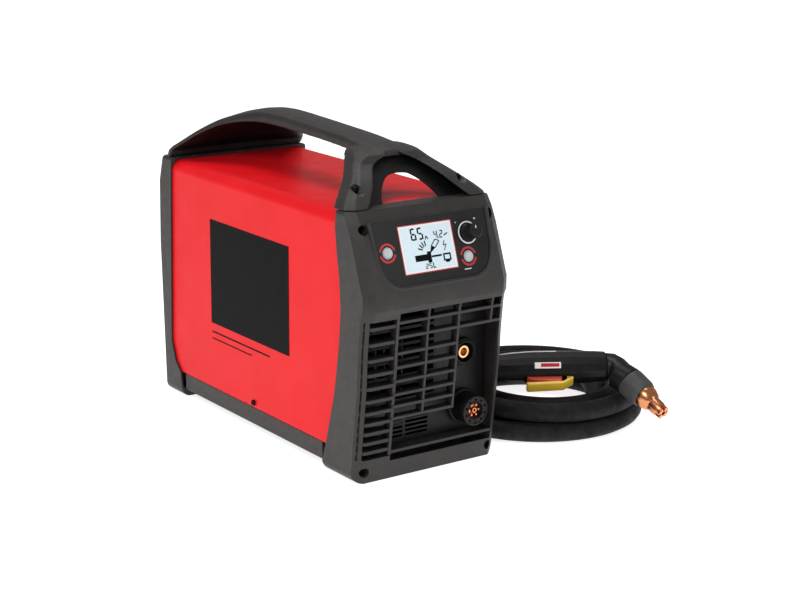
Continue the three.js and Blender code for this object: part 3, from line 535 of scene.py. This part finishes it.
SEGMENTS = {
    "0": "abcdef", "2": "abged", "4": "fgbc", "5": "afgcd", "6": "afgedc", "8": "abcdefg",
}


def digit(figure, u, v, wide, high):
    """The lit bars of a seven-segment digit with its lower left corner at (u, v)."""
    t = wide * 0.26
    bars = {
        "a": rectangle(u + t, u + wide - t, v + high - t, v + high),
        "b": rectangle(u + wide - t, u + wide, v + high / 2 + t / 4, v + high - t / 3),
        "c": rectangle(u + wide - t, u + wide, v + t / 3, v + high / 2 - t / 4),
        "d": rectangle(u + t, u + wide - t, v, v + t),
        "e": rectangle(u, u + t, v + t / 3, v + high / 2 - t / 4),
        "f": rectangle(u, u + t, v + high / 2 + t / 4, v + high - t / 3),
        "g": rectangle(u + t, u + wide - t, v + high / 2 - t / 2, v + high / 2 + t / 2),
    }
    return [bars[name] for name in SEGMENTS[figure]]


def stroke(a, b, wide):
    """A straight bar between two points."""
    along = Vector((b[0] - a[0], b[1] - a[1])).normalized() * wide / 2
    n = (-along.y, along.x)
    return [(a[0] - n[0], a[1] - n[1]), (b[0] - n[0], b[1] - n[1]),
            (b[0] + n[0], b[1] + n[1]), (a[0] + n[0], a[1] + n[1])]


def screen_figures():
    """Current, thickness and air readings with a plain sketch of a torch over a plate."""
    shapes = digit("6", -22, 10, 8, 15) + digit("5", -12, 10, 8, 15)
    shapes += [stroke((-2, 9.6), (0, 14), 1.3), stroke((0, 14), (2.2, 9.6), 1.3)]
    shapes += digit("4", 11.5, 9, 5.2, 9.5) + digit("2", 19.5, 9, 5.2, 9.5)
    shapes += [rectangle(17.5, 18.7, 9, 10.3), stroke((26, 11.5), (31.5, 14), 1.5)]
    shapes += [rectangle(-21, -3, -15.5, -8), rectangle(3, 18, -12.6, -10.4),
               rectangle(-3, 2.6, -18.5, -5)]
    for turn in (98, 118, 138, 158):
        a = math.radians(turn)
        shapes.append(stroke((-2 + 7 * math.cos(a), -5 + 7 * math.sin(a)),
                             (-2 + 13.5 * math.cos(a), -5 + 13.5 * math.sin(a)), 1.6))
    shapes += [[(1.5, -8), (10.5, -1.5), (5, 2)]]
    shapes += [stroke((5.5, 1.5), (12, 8.5), 1.2), stroke((10.5, -1.5), (17.5, 6), 1.2),
               stroke((12, 8.5), (17.5, 6), 1.2)]
    shapes += [stroke((25, 5.5), (22.5, 0), 1.1), stroke((22.5, 0), (27, 0.6), 1.1),
               stroke((27, 0.6), (23, -6.5), 1.1)]
    shapes += frame_bands(5.6, 4.6, 2.0, (25.5, -14.5))
    shapes += [rectangle(22.5, 28.5, -21, -18.5)]
    shapes += digit("2", -8, -25.5, 4, 6.4) + digit("5", -2.6, -25.5, 4, 6.4)
    shapes += [rectangle(2.8, 4, -25.5, -19.1), rectangle(4, 6.6, -25.5, -24.2)]
    cu, cv = SCREEN_AT
    return [[(cu + u * MM, cv + v * MM) for u, v in outline] for outline in shapes]


def make_panel():
    refined("control_fascia", "fascia", 0.0003)
    refined("display_window", "display", 0.0)
    join_meshes("screen_red_border", frame_bands(SCREEN[0] / 2 + 2.6 * MM,
                SCREEN[1] / 2 + 2.6 * MM, 1.1 * MM), "print_red",
                on_panel(FASCIA_FACE), 0.25 * MM)
    join_meshes("screen_white_border", frame_bands(SCREEN[0] / 2 + 1.5 * MM,
                SCREEN[1] / 2 + 1.5 * MM, 2.6 * MM), "print_white",
                on_panel(WINDOW_FACE), 0.2 * MM)
    join_meshes("screen_figures", screen_figures(), "print_black",
                on_panel(WINDOW_FACE + 0.02 * MM), 0.12 * MM)
    for name, at in (("mode", MODE), ("info", INFO)):
        arcs = [band(at, 9.3 * MM, 11.9 * MM, 14, 166), band(at, 9.3 * MM, 11.9 * MM, 194, 346)]
        join_meshes(name + "_button_arcs", arcs, "print_red", on_panel(FASCIA_FACE),
                    0.25 * MM)
        rings = [band(at, 6.25 * MM, 7.0 * MM, 0.5 + 90 * k, 89.5 + 90 * k) for k in range(4)]
        join_meshes(name + "_button_ring", rings, "button", on_panel(FASCIA_FACE),
                    0.35 * MM)
        make_button(name + "_button", at)
    rings = [band(KNOB, 12.3 * MM, 13.9 * MM, 0.3 + 90 * k, 89.7 + 90 * k) for k in range(4)]
    marks = [arc((KNOB[0] - 15.5 * MM, KNOB[1] + 14 * MM), 0.7 * MM, 0, 345, 12),
             [(KNOB[0] + 12.2 * MM, KNOB[1] + 16.6 * MM), (KNOB[0] + 15.4 * MM, KNOB[1] + 16.6 * MM),
              (KNOB[0] + 13.8 * MM, KNOB[1] + 14.2 * MM)],
             rectangle(MODE[0] - 9 * MM, MODE[0] + 1 * MM, MODE[1] - 15.6 * MM, MODE[1] - 14.6 * MM)]
    join_meshes("knob_scale", rings + marks, "print_white", on_panel(FASCIA_FACE), 0.25 * MM)
    make_knob()
    make_rim()


def make_button(cad, at):
    origin = PANEL_AT + PANEL_U * at[0] + PANEL_V * at[1]
    profile = [(0, -3.4), (7.6, -3.4), (7.6, -2.7), (5.8, -2.7), (5.8, 0.5), (5.4, 0.95),
               (4.6, 1.2), (3.6, 1.05), (0, 0.95)]
    made = lathe(cad + "_cap", "button", [(r * MM, h * MM) for r, h in profile], origin,
                 PANEL_NORMAL, PANEL_U, body=BODY_OF[cad])
    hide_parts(cad)


def make_knob():
    """A tapered knob with fine grooves round its side and a pointer on its crown."""
    origin = PANEL_AT + PANEL_U * KNOB[0] + PANEL_V * KNOB[1]
    body = BODY_OF["encoder_knob"]
    steps = 96
    rows = [(3.3, 14, 0), (3.3, -0.4, 0), (10.6, -0.4, 0), (10.6, 1.8, 0), (9.9, 2.6, 0),
            (9.8, 3.2, 1), (9.3, 16.6, 1), (8.9, 17.6, 0), (8.0, 18.3, 0), (6.9, 18.45, 0),
            (6.5, 17.9, 0), (0.01, 17.8, 0)]
    points, faces = [], []
    for radius, height, grooved in rows:
        for i in range(steps):
            a = 2 * math.pi * i / steps
            r = (radius - (0.45 if grooved and i % 4 < 2 else 0.0)) * MM
            points.append(origin + PANEL_NORMAL * height * MM
                          + (PANEL_U * math.cos(a) + PANEL_V * math.sin(a)) * r)
    for row in range(len(rows) - 1):
        for i in range(steps):
            j = (i + 1) % steps
            faces.append((row * steps + i, row * steps + j,
                          (row + 1) * steps + j, (row + 1) * steps + i))
    mesh = mesh_from("encoder_knob_finish", points, faces)
    face_outwards(mesh)
    made = new_object("encoder_knob_finish", mesh, "black_plastic", body)
    shade(made, 30)
    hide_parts("encoder_knob")
    place = (origin + PANEL_NORMAL * 17.85 * MM, PANEL_U, PANEL_V, PANEL_NORMAL)
    join_meshes("encoder_pointer", [rectangle(-0.5 * MM, 0.5 * MM, 2.5 * MM, 6.0 * MM)],
                "print_white", place, 0.25 * MM, body)


def fascia_outline(grow, steps=14):
    """The fascia's edge from top left, down and round to top right."""
    top, low = (42 + grow) * MM, (-38 - grow) * MM
    sides = []
    for outer, turn, flat in ((-82.5 - grow, 1, -48), (86 + grow, -1, 50)):
        start = ((outer + 2 * turn) * MM, 0.0)
        bend = ((outer + 5 * turn) * MM, low)
        end = (flat * MM, low)
        side = [(outer * MM, top - 2 * MM), start]
        for i in range(1, steps + 1):
            t = i / steps
            side.append(tuple((1 - t) ** 2 * start[k] + 2 * t * (1 - t) * bend[k]
                              + t * t * end[k] for k in (0, 1)))
        sides.append(side)
    return sides[0] + sides[1][::-1]


def make_rim():
    """A soft raised rim that follows the fascia down its sides and round its lower edge."""
    line = fascia_outline(2.6)
    curve = bpy.data.curves.new("fascia_rim", "CURVE")
    curve.dimensions = "3D"
    curve.bevel_depth = 2.8 * MM
    curve.bevel_resolution = 4
    curve.use_fill_caps = True
    spline = curve.splines.new("POLY")
    spline.points.add(len(line) - 1)
    for point, (u, v) in zip(spline.points, line):
        at = PANEL_AT + PANEL_U * u + PANEL_V * v - PANEL_NORMAL * RIM_SINK
        point.co = (*at, 1)
    spline.use_smooth = True
    new_object("fascia_rim", curve, "housing")


# ---- Handle ---------------------------------------------------------------------------------
# Stations of the arch from the rear: y, z of its top, half width, thickness, and the lean of its
# outward normal from +Y. Millimetres and radians.
ARCH = [
    (427.5, 332.3, 106.5, 15, 0), (417, 350, 107, 13, 0.75), (404.4, 361, 98, 13, 0.83),
    (388, 375.5, 82, 13.5, 0.9), (364, 391, 62, 14.5, 1.05), (338, 400, 44, 16, 1.25),
    (306, 404.5, 32, 17, 1.45), (272, 405, 28, 17, 1.55), (235, 404, 26.5, 17, 1.58),
    (172, 401.5, 26, 16, 1.6), (110, 398.5, 26, 16, 1.6), (80, 395.5, 28, 15, 1.62),
    (58, 392, 34, 13, 1.7), (42, 387.5, 38, 11, 1.8),
]
# Sections of a front post from the fork down to the bezel, as x, y, z corners.
POST = [
    [(8, 56, 391.5), (33, 60, 389), (38, 72, 389), (36, 86, 389), (8, 86, 391.5)],
    [(10, 38, 384), (38, 41, 384.5), (47, 56, 384.5), (45, 80, 384.5), (12, 80, 383)],
    [(31, 33, 374), (53, 35, 374), (58, 42, 374), (58, 62, 374), (37, 62, 374)],
    [(49, 9, 359), (70, 10, 359), (76, 19, 359), (76, 39, 359), (55, 39, 359)],
    [(64, -9, 343), (88, -8, 343), (96, 2, 343), (97, 19, 343), (71, 19, 343)],
    [(76, -19.5, 332.3), (96, -19, 332.3), (106.5, -9, 332.3), (106.5, 11, 332.3),
     (78, 11, 332.3)],
]

# The fork's inner wall, a black sheet that is painted shade for the shaded hollow of the fork: half
# outline of its outside and of the arch through it, in x and z.
WEB_OUTER = [(84, 332.3), (76, 343), (60, 359), (44, 374), (25, 385), (0.01, 388)]
WEB_ARCH = [(42, 332.3), (40, 337), (34, 345), (25, 353.5), (14, 359.5), (0.01, 361)]
WEB_THICK = 4
WEB_LEAN = 1.08
ROOF = 332


def fork_shade_web():
    """Sections of the thin inner wall, a painted shade sheet, from its left foot over the arch to
    its right foot.
    """
    rings = []
    outer = through([(x, 0, z) for x, z in WEB_OUTER], 4)
    inner = through([(x, 0, z) for x, z in WEB_ARCH], 4)
    for side, pairs in ((-1, list(zip(outer, inner))), (1, list(zip(outer, inner))[::-1])):
        for out, low in pairs:
            ring = [(out.x, 0, out.z), (out.x, WEB_THICK, out.z),
                    (low.x, WEB_THICK, low.z), (low.x, 0, low.z)]
            rings.append([Vector((side * x, y + WEB_LEAN * (z - ROOF), z)) * MM
                          for x, y, z in ring])
    return rings


def arch_section(y, z, half, thick, slope):
    """Rounded shoulders, a crowned top and a hollow underside."""
    crown = 0.12 * min(half, 45)
    across = [
        (-1, 0.3 * thick + crown), (-0.9, crown), (-0.45, 0.2 * crown), (0, 0),
        (0.45, 0.2 * crown), (0.9, crown), (1, 0.3 * thick + crown), (0.98, thick),
        (0.82, thick), (0.45, 0.85 * thick), (0, 0.8 * thick),
        (-0.45, 0.85 * thick), (-0.82, thick), (-0.98, thick),
    ]
    return [Vector((u * half, y - math.cos(slope) * d, z - math.sin(slope) * d)) * MM
            for u, d in across]


def skin(work, sections):
    """Adds a closed skin through rings of points to a bmesh."""
    rings = [[work.verts.new(p) for p in ring] for ring in sections]
    for a, b in zip(rings, rings[1:]):
        for i in range(len(a)):
            j = (i + 1) % len(a)
            work.faces.new((a[i], a[j], b[j], b[i]))
    work.faces.new(rings[0][::-1])
    work.faces.new(rings[-1])


def between(sections, steps):
    """More cross-sections on smooth lines through the given ones."""
    lanes = [through([section[i] for section in sections], steps) for i in range(len(sections[0]))]
    return [[lane[k] for lane in lanes] for k in range(len(lanes[0]))]


def fused(name, look, skins, voxel, relax, body=UNIT):
    """Overlapping closed skins made one moulded body, with soft fillets where they meet."""
    work = bmesh.new()
    for sections in skins:
        skin(work, sections)
    bmesh.ops.recalc_face_normals(work, faces=work.faces)
    mesh = bpy.data.meshes.new(name)
    work.to_mesh(mesh)
    work.free()
    made = new_object(name, mesh, look, body)
    remesh = made.modifiers.new("fuse", "REMESH")
    remesh.mode = "VOXEL"
    remesh.voxel_size = voxel
    remesh.use_smooth_shade = True
    smooth = made.modifiers.new("relax", "SMOOTH")
    smooth.factor = 0.5
    smooth.iterations = relax
    apply_modifiers(made)
    return made


def apply_modifiers(made):
    bpy.context.view_layer.update()
    graph = bpy.context.evaluated_depsgraph_get()
    mesh = bpy.data.meshes.new_from_object(made.evaluated_get(graph))
    made.modifiers.clear()
    made.data = mesh
    for polygon in mesh.polygons:
        polygon.use_smooth = True


def drill(made, cutters):
    """Cuts closed tools out of a piece and deletes them."""
    for tool in cutters:
        hole = made.modifiers.new("hole", "BOOLEAN")
        hole.operation = "DIFFERENCE"
        hole.solver = "EXACT"
        hole.object = tool
    apply_modifiers(made)
    for tool in cutters:
        bpy.data.objects.remove(tool)


def tool_rod(radius, centre, axis, low, high, steps=40):
    """A plain closed rod used only as a cutter."""
    along = Vector(axis).normalized()
    side = along.orthogonal().normalized()
    other = along.cross(side)
    points = []
    for height in (low, high):
        for i in range(steps):
            a = 2 * math.pi * i / steps
            points.append(Vector(centre) + along * height
                          + (side * math.cos(a) + other * math.sin(a)) * radius)
    faces = [tuple(range(steps))[::-1], tuple(range(steps, 2 * steps))]
    faces += [(i, (i + 1) % steps, steps + (i + 1) % steps, steps + i) for i in range(steps)]
    made = bpy.data.objects.new("tool", mesh_from("tool", points, faces))
    scene.collection.objects.link(made)
    return made


def make_handle():
    skins = [between([arch_section(*station) for station in ARCH], 5)]
    for side in (-1, 1):
        sections = [[Vector((side * x, y, z)) * MM for x, y, z in ring] for ring in POST]
        skins.append(between(sections, 5))
    made = fused("handle_moulding", "housing", skins, 1.1 * MM, 12)
    cutters = []
    for side in ("left", "right"):
        low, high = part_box("handle_screw_" + side)
        centre = (low + high) / 2
        cutters.append(tool_rod(6 * MM, (centre.x, high.y - 4 * MM, centre.z), (0, 1, 0),
                                -40 * MM, 0))
    drill(made, cutters)
    # Painted shade: a black sheet behind the posts stands for the shaded hollow inside the fork.
    work = bmesh.new()
    skin(work, fork_shade_web())
    bmesh.ops.recalc_face_normals(work, faces=work.faces)
    wall = bpy.data.meshes.new("fork_shade_wall")
    work.to_mesh(wall)
    work.free()
    web = new_object("fork_shade_wall", wall, "black_plastic")
    shade(web, 40)
    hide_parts("handle_shell")
    # Painted shade: faces above the roof that face down, and rear-facing faces of the front posts,
    # take the black plastic to stand for the shade under and inside the arch.
    made.data.materials.append(LOOKS["black_plastic"])
    for polygon in made.data.polygons:
        under = polygon.normal.z < -0.62
        behind = polygon.normal.y > 0.35 and polygon.center.y < 95 * MM
        if polygon.center.z > 336 * MM and (under or behind):
            polygon.material_index = 1


# ---- Body of the unit -----------------------------------------------------------------------
def darken_inside(made):
    """Painted shade: the cover's inner faces, the ones that point at the middle of the unit, are
    coloured near-black for the shade inside the housing.
    """
    low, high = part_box("cover_shell")
    middle = (low + high) / 2
    made.data.materials.append(LOOKS["coated_sheet"])
    for polygon in made.data.polygons:
        out = polygon.center - middle
        out.y = 0
        if polygon.normal.dot(out) < -0.2 * out.length:
            polygon.material_index = 1


def make_body():
    refined("front_bezel", "housing", 0.0007, 2, 24)
    refined("rear_bezel", "housing", 0.0010, 2, 24)
    darken_inside(refined("cover_shell", "cover", 0.0005, 2, 24))
    refined("base_tray", "housing", 0.0006)
    refined("rear_plate", "coated_sheet", 0.0003)
    # The socket panel's near-black is partly its black coating and partly painted shade for its
    # recess behind the grille bars.
    refined("socket_panel", "coated_sheet", 0.0003)
    # Painted shade: the handle's underside takes the black plastic for the shade beneath the handle.
    refined("handle_underside", "black_plastic", 0.0008)
    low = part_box("cover_shell")[0]
    place = (Vector((low.x, 0, 0)), Vector((0, -1, 0)), Vector((0, 0, 1)), Vector((-1, 0, 0)))
    black = [rectangle(-307 * MM, -113 * MM, 125 * MM, 266 * MM)]
    join_meshes("side_panel_black", black, "print_black", place, 0.35 * MM)
    lines = [rectangle(-305 * MM, -160 * MM, 112 * MM, 114 * MM),
             rectangle(-305 * MM, -205 * MM, 103 * MM, 104.5 * MM)]
    join_meshes("side_stripes", lines, "print_black", place, 0.3 * MM)


def screw_head(cad, axis):
    """A blackened button screw with a round socket recess."""
    low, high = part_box(cad)
    centre = (low + high) / 2
    along = Vector(axis)
    radius = max((high - low)[k] for k in range(3) if abs(along[k]) < 0.5) / 2
    if along.y:
        tip = Vector((centre.x, low.y if along.y < 0 else high.y, centre.z))
    else:
        tip = Vector((low.x if along.x < 0 else high.x, centre.y, centre.z))
    r = radius
    profile = [(0.5 * r, -10 * MM), (0.5 * r, -3 * MM), (r, -3 * MM), (r, -1.3 * MM),
               (0.93 * r, -0.6 * MM), (0.75 * r, -0.15 * MM), (0.5 * r, 0), (0.45 * r, -0.1 * MM),
               (0.42 * r, -1.7 * MM), (0.01 * r, -1.9 * MM)]
    side = (1, 0, 0) if along.y else (0, 1, 0)
    made = lathe(cad + "_finish", "screw", profile, tip, axis, side, 36)
    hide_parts(cad)


def make_screws():
    for place in ("top_left", "top_right", "bottom_left", "bottom_right"):
        screw_head("front_screw_" + place, (0, -1, 0))
        screw_head("rear_screw_" + place, (0, 1, 0))
    for place, turn in (("left", -1), ("right", 1)):
        screw_head("handle_screw_" + place, (0, -1, 0))
        screw_head("cover_screw_" + place, (turn, 0, 0))


# ---- Sockets --------------------------------------------------------------------------------
def centre_of(cad):
    low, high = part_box(cad)
    return (low + high) / 2, low, high


def make_sockets():
    centre, low, high = centre_of("earth_socket_body")
    face = Vector((centre.x, low.y + 7 * MM, centre.z))
    profile = [(7.2, -24), (15, -24), (15, 0.3), (18, 0.3), (18.1, 4.6), (17.6, 5.6), (16.8, 5.8),
               (15.9, 5.2), (15.2, 5.2), (14.6, 7), (12.9, 7.1), (12.6, 6.6), (12.6, -12),
               (7.2, -12), (7.2, -24)]
    made = lathe("earth_socket_ring", "black_plastic", [(r * MM, h * MM) for r, h in profile],
                 face, (0, -1, 0), (1, 0, 0), 72)
    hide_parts("earth_socket_body")
    profile = [(0.05, -34), (6.9, -34), (6.9, -11.7), (8.55, -11.7), (8.6, 2), (8.3, 3.3),
               (7.8, 4), (5.4, 4), (4.7, 3.2), (4.6, -14), (0.05, -14)]
    made = lathe("earth_socket_insert", "brass", [(r * MM, h * MM) for r, h in profile],
                 face, (0, -1, 0), (1, 0, 0), 64)
    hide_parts("earth_socket_contact")
    make_torch_adapter()


def make_torch_adapter():
    """A stepped adapter: flange, collar, and a front ring with a circle of holes."""
    centre, low, high = centre_of("torch_adapter_body")
    face = Vector((centre.x, low.y + 31 * MM, centre.z))
    profile = [(11, -22), (13.5, -22), (13.5, 0.3), (22, 0.3), (22.1, 4.4), (21.4, 5.2),
               (19.6, 5.6), (19.0, 7), (18.5, 10), (18.3, 21.6), (19.3, 23.4), (19.6, 24.2),
               (19.6, 28.8), (19.0, 30.2), (17.8, 31), (16.9, 30.7), (16.6, 30), (12.3, 30),
               (12.0, 30.7), (11, 30.7), (11, -22)]
    made = lathe("torch_adapter_collar", "black_plastic", [(r * MM, h * MM) for r, h in profile],
                 face, (0, -1, 0), (1, 0, 0), 72)
    cutters = []
    for i in range(10):
        a = 2 * math.pi * (i + 0.5) / 10
        at = face + Vector((math.cos(a), 0, math.sin(a))) * 14.5 * MM
        cutters.append(tool_rod(1.55 * MM, at, (0, -1, 0), 22 * MM, 40 * MM, 20))
    drill(made, cutters)
    shade(made, 32)
    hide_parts("torch_adapter_body")
    refined("torch_adapter_core", "copper", 0.0002)


# ---- Torch ----------------------------------------------------------------------------------
TORCH_SIDE = -Vector(JOINT["torch_trigger_press"]["axis"]).normalized()
# The handle's own directions, from its neck: along it to the head, and across it upwards.
TORCH_ALONG = Vector((0.82449, -0.56552, 0.02004)).normalized()
TORCH_UP = TORCH_ALONG.cross(TORCH_SIDE).normalized()
TORCH_NECK = Vector((289, -38, 83.5)) * MM
# Name, look, near and far ends, lower and upper edges, and height over the moulding.
LABELS = [
    ("torch_label_white", "print_white", -94, -60, -15, -8, 0.25),
    ("torch_label_red", "print_red", -86, -62, -13.4, -9.6, 0.5),
    ("torch_ridge_strip", "label_silver", -138, -64, 11, 17, 0.25),
]
LABEL_ROWS, LABEL_COLUMNS = 6, 12
LABEL_THICK = 0.2 * MM
PROBE = 60 * MM


def make_torch_marks():
    """A small plain red and white label and a pale ridge strip, laid on the handle's surface."""
    face = -TORCH_SIDE if TORCH_SIDE.z < 0 else TORCH_SIDE
    handle = surface("torch_handle_left", "torch_handle_right")
    for name, look, near, far, foot, top, height in LABELS:
        points = []
        for i in range(LABEL_COLUMNS + 1):
            for j in range(LABEL_ROWS + 1):
                at = TORCH_NECK + TORCH_ALONG * (near + (far - near) * i / LABEL_COLUMNS) * MM
                at += TORCH_UP * (foot + (top - foot) * j / LABEL_ROWS) * MM
                hit, normal = handle.ray_cast(at + face * PROBE, -face)[:2]
                points.append(hit + normal * height * MM)
        faces = []
        for i in range(LABEL_COLUMNS):
            for j in range(LABEL_ROWS):
                k = i * (LABEL_ROWS + 1) + j
                faces.append((k, k + 1, k + LABEL_ROWS + 2, k + LABEL_ROWS + 1))
        label = new_object(name, mesh_from(name, points, faces), look)
        label.modifiers.new("thick", "SOLIDIFY").thickness = LABEL_THICK


def surface(*cads):
    """A search tree over the surface of some CAD nodes."""
    work = bmesh.new()
    for cad in cads:
        part = frame["nodes"][cad]
        mesh = part.data.copy()
        mesh.transform(part.matrix_world)
        work.from_mesh(mesh)
    tree = BVHTree.FromBMesh(work)
    work.free()
    return tree


def make_torch():
    refined("torch_handle_left", "black_plastic", 0.0012, 3, 20)
    refined("torch_handle_right", "black_plastic", 0.0012, 3, 20)
    refined("torch_head", "black_plastic", 0.0008, 2, 40)
    refined("torch_cap", "torch_cap", 0.0006, 2, 30)
    refined("torch_nozzle", "copper", 0.0005, 2, 30)
    refined("torch_trigger", "torch_trigger", 0.0010, 3, 25)
    refined("torch_safety", "torch_safety", 0.0011, 3, 25)
    refined("torch_boot", "rubber", 0.0006)
    make_torch_marks()


def make_rear():
    for cad, look in (
        ("fan_frame", "black_plastic"), ("fan_rotor", "black_plastic"),
        ("power_switch_body", "black_plastic"), ("power_switch_knob", "black_plastic"),
        ("cable_gland", "black_plastic"), ("regulator_body", "steel"),
        ("regulator_knob", "black_plastic"), ("filter_bowl", "bowl"), ("air_inlet", "brass"),
        ("heat_sink", "alloy"), ("power_board", "electronics"), ("transformer", "steel"),
        ("capacitor", "alloy"), ("air_valve", "brass"), ("display_module", "electronics"),
        ("control_board", "electronics"), ("encoder_body", "electronics"),
        ("lead_plug_boot", "rubber"), ("lead_plug_nut", "black_plastic"),
        ("lead_plug_body", "brass"),
    ):
        refined(cad, look, 0.0005, 2, 28)


# ---- Floor and light ------------------------------------------------------------------------
SOFT_LIGHT = 0.34
BACKDROP = 1.0


def make_stage():
    """A white backdrop for the camera, with a weaker light from it on the object."""
    scene.view_settings.view_transform = "Standard"
    mesh = mesh_from("floor", [(-6, -6, -0.0006), (6, -6, -0.0006), (6, 6, -0.0006),
                               (-6, 6, -0.0006)], [(0, 1, 2, 3)])
    floor = bpy.data.objects.new("floor", mesh)
    floor.data.materials.append(LOOKS["floor"])
    scene.collection.objects.link(floor)
    world = bpy.data.worlds.new("studio")
    world.use_nodes = True
    background = world.node_tree.nodes["Background"]
    background.inputs["Color"].default_value = (1, 1, 1, 1)
    background.inputs["Strength"].default_value = SOFT_LIGHT
    white = world.node_tree.nodes.new("ShaderNodeBackground")
    white.inputs["Color"].default_value = (1, 1, 1, 1)
    white.inputs["Strength"].default_value = BACKDROP
    paths = world.node_tree.nodes.new("ShaderNodeLightPath")
    mix = world.node_tree.nodes.new("ShaderNodeMixShader")
    link = world.node_tree.links.new
    link(paths.outputs["Is Camera Ray"], mix.inputs[0])
    link(background.outputs["Background"], mix.inputs[1])
    link(white.outputs["Background"], mix.inputs[2])
    link(mix.outputs["Shader"], world.node_tree.nodes["World Output"].inputs["Surface"])
    scene.world = world
    area("key", (-1.7, -0.9, 2.0), (0.0, 0.1, 0.2), 1.0, 22)
    area("fill", (1.0, -2.2, 1.2), (0.0, 0.0, 0.15), 0.8, 7)
    area("top", (0.3, 0.5, 2.4), (0.0, 0.2, 0.2), 1.2, 20)


def area(name, at, aim, size, watts):
    data = bpy.data.lights.new(name, "AREA")
    data.size = size
    data.energy = watts
    made = bpy.data.objects.new(name, data)
    made.location = at
    made.rotation_mode = "QUATERNION"
    made.rotation_quaternion = (Vector(aim) - Vector(at)).to_track_quat("-Z", "Y")
    scene.collection.objects.link(made)


lead = make_lead()
make_body()
make_handle()
make_panel()
make_screws()
make_sockets()
make_torch()
make_rear()
make_stage()
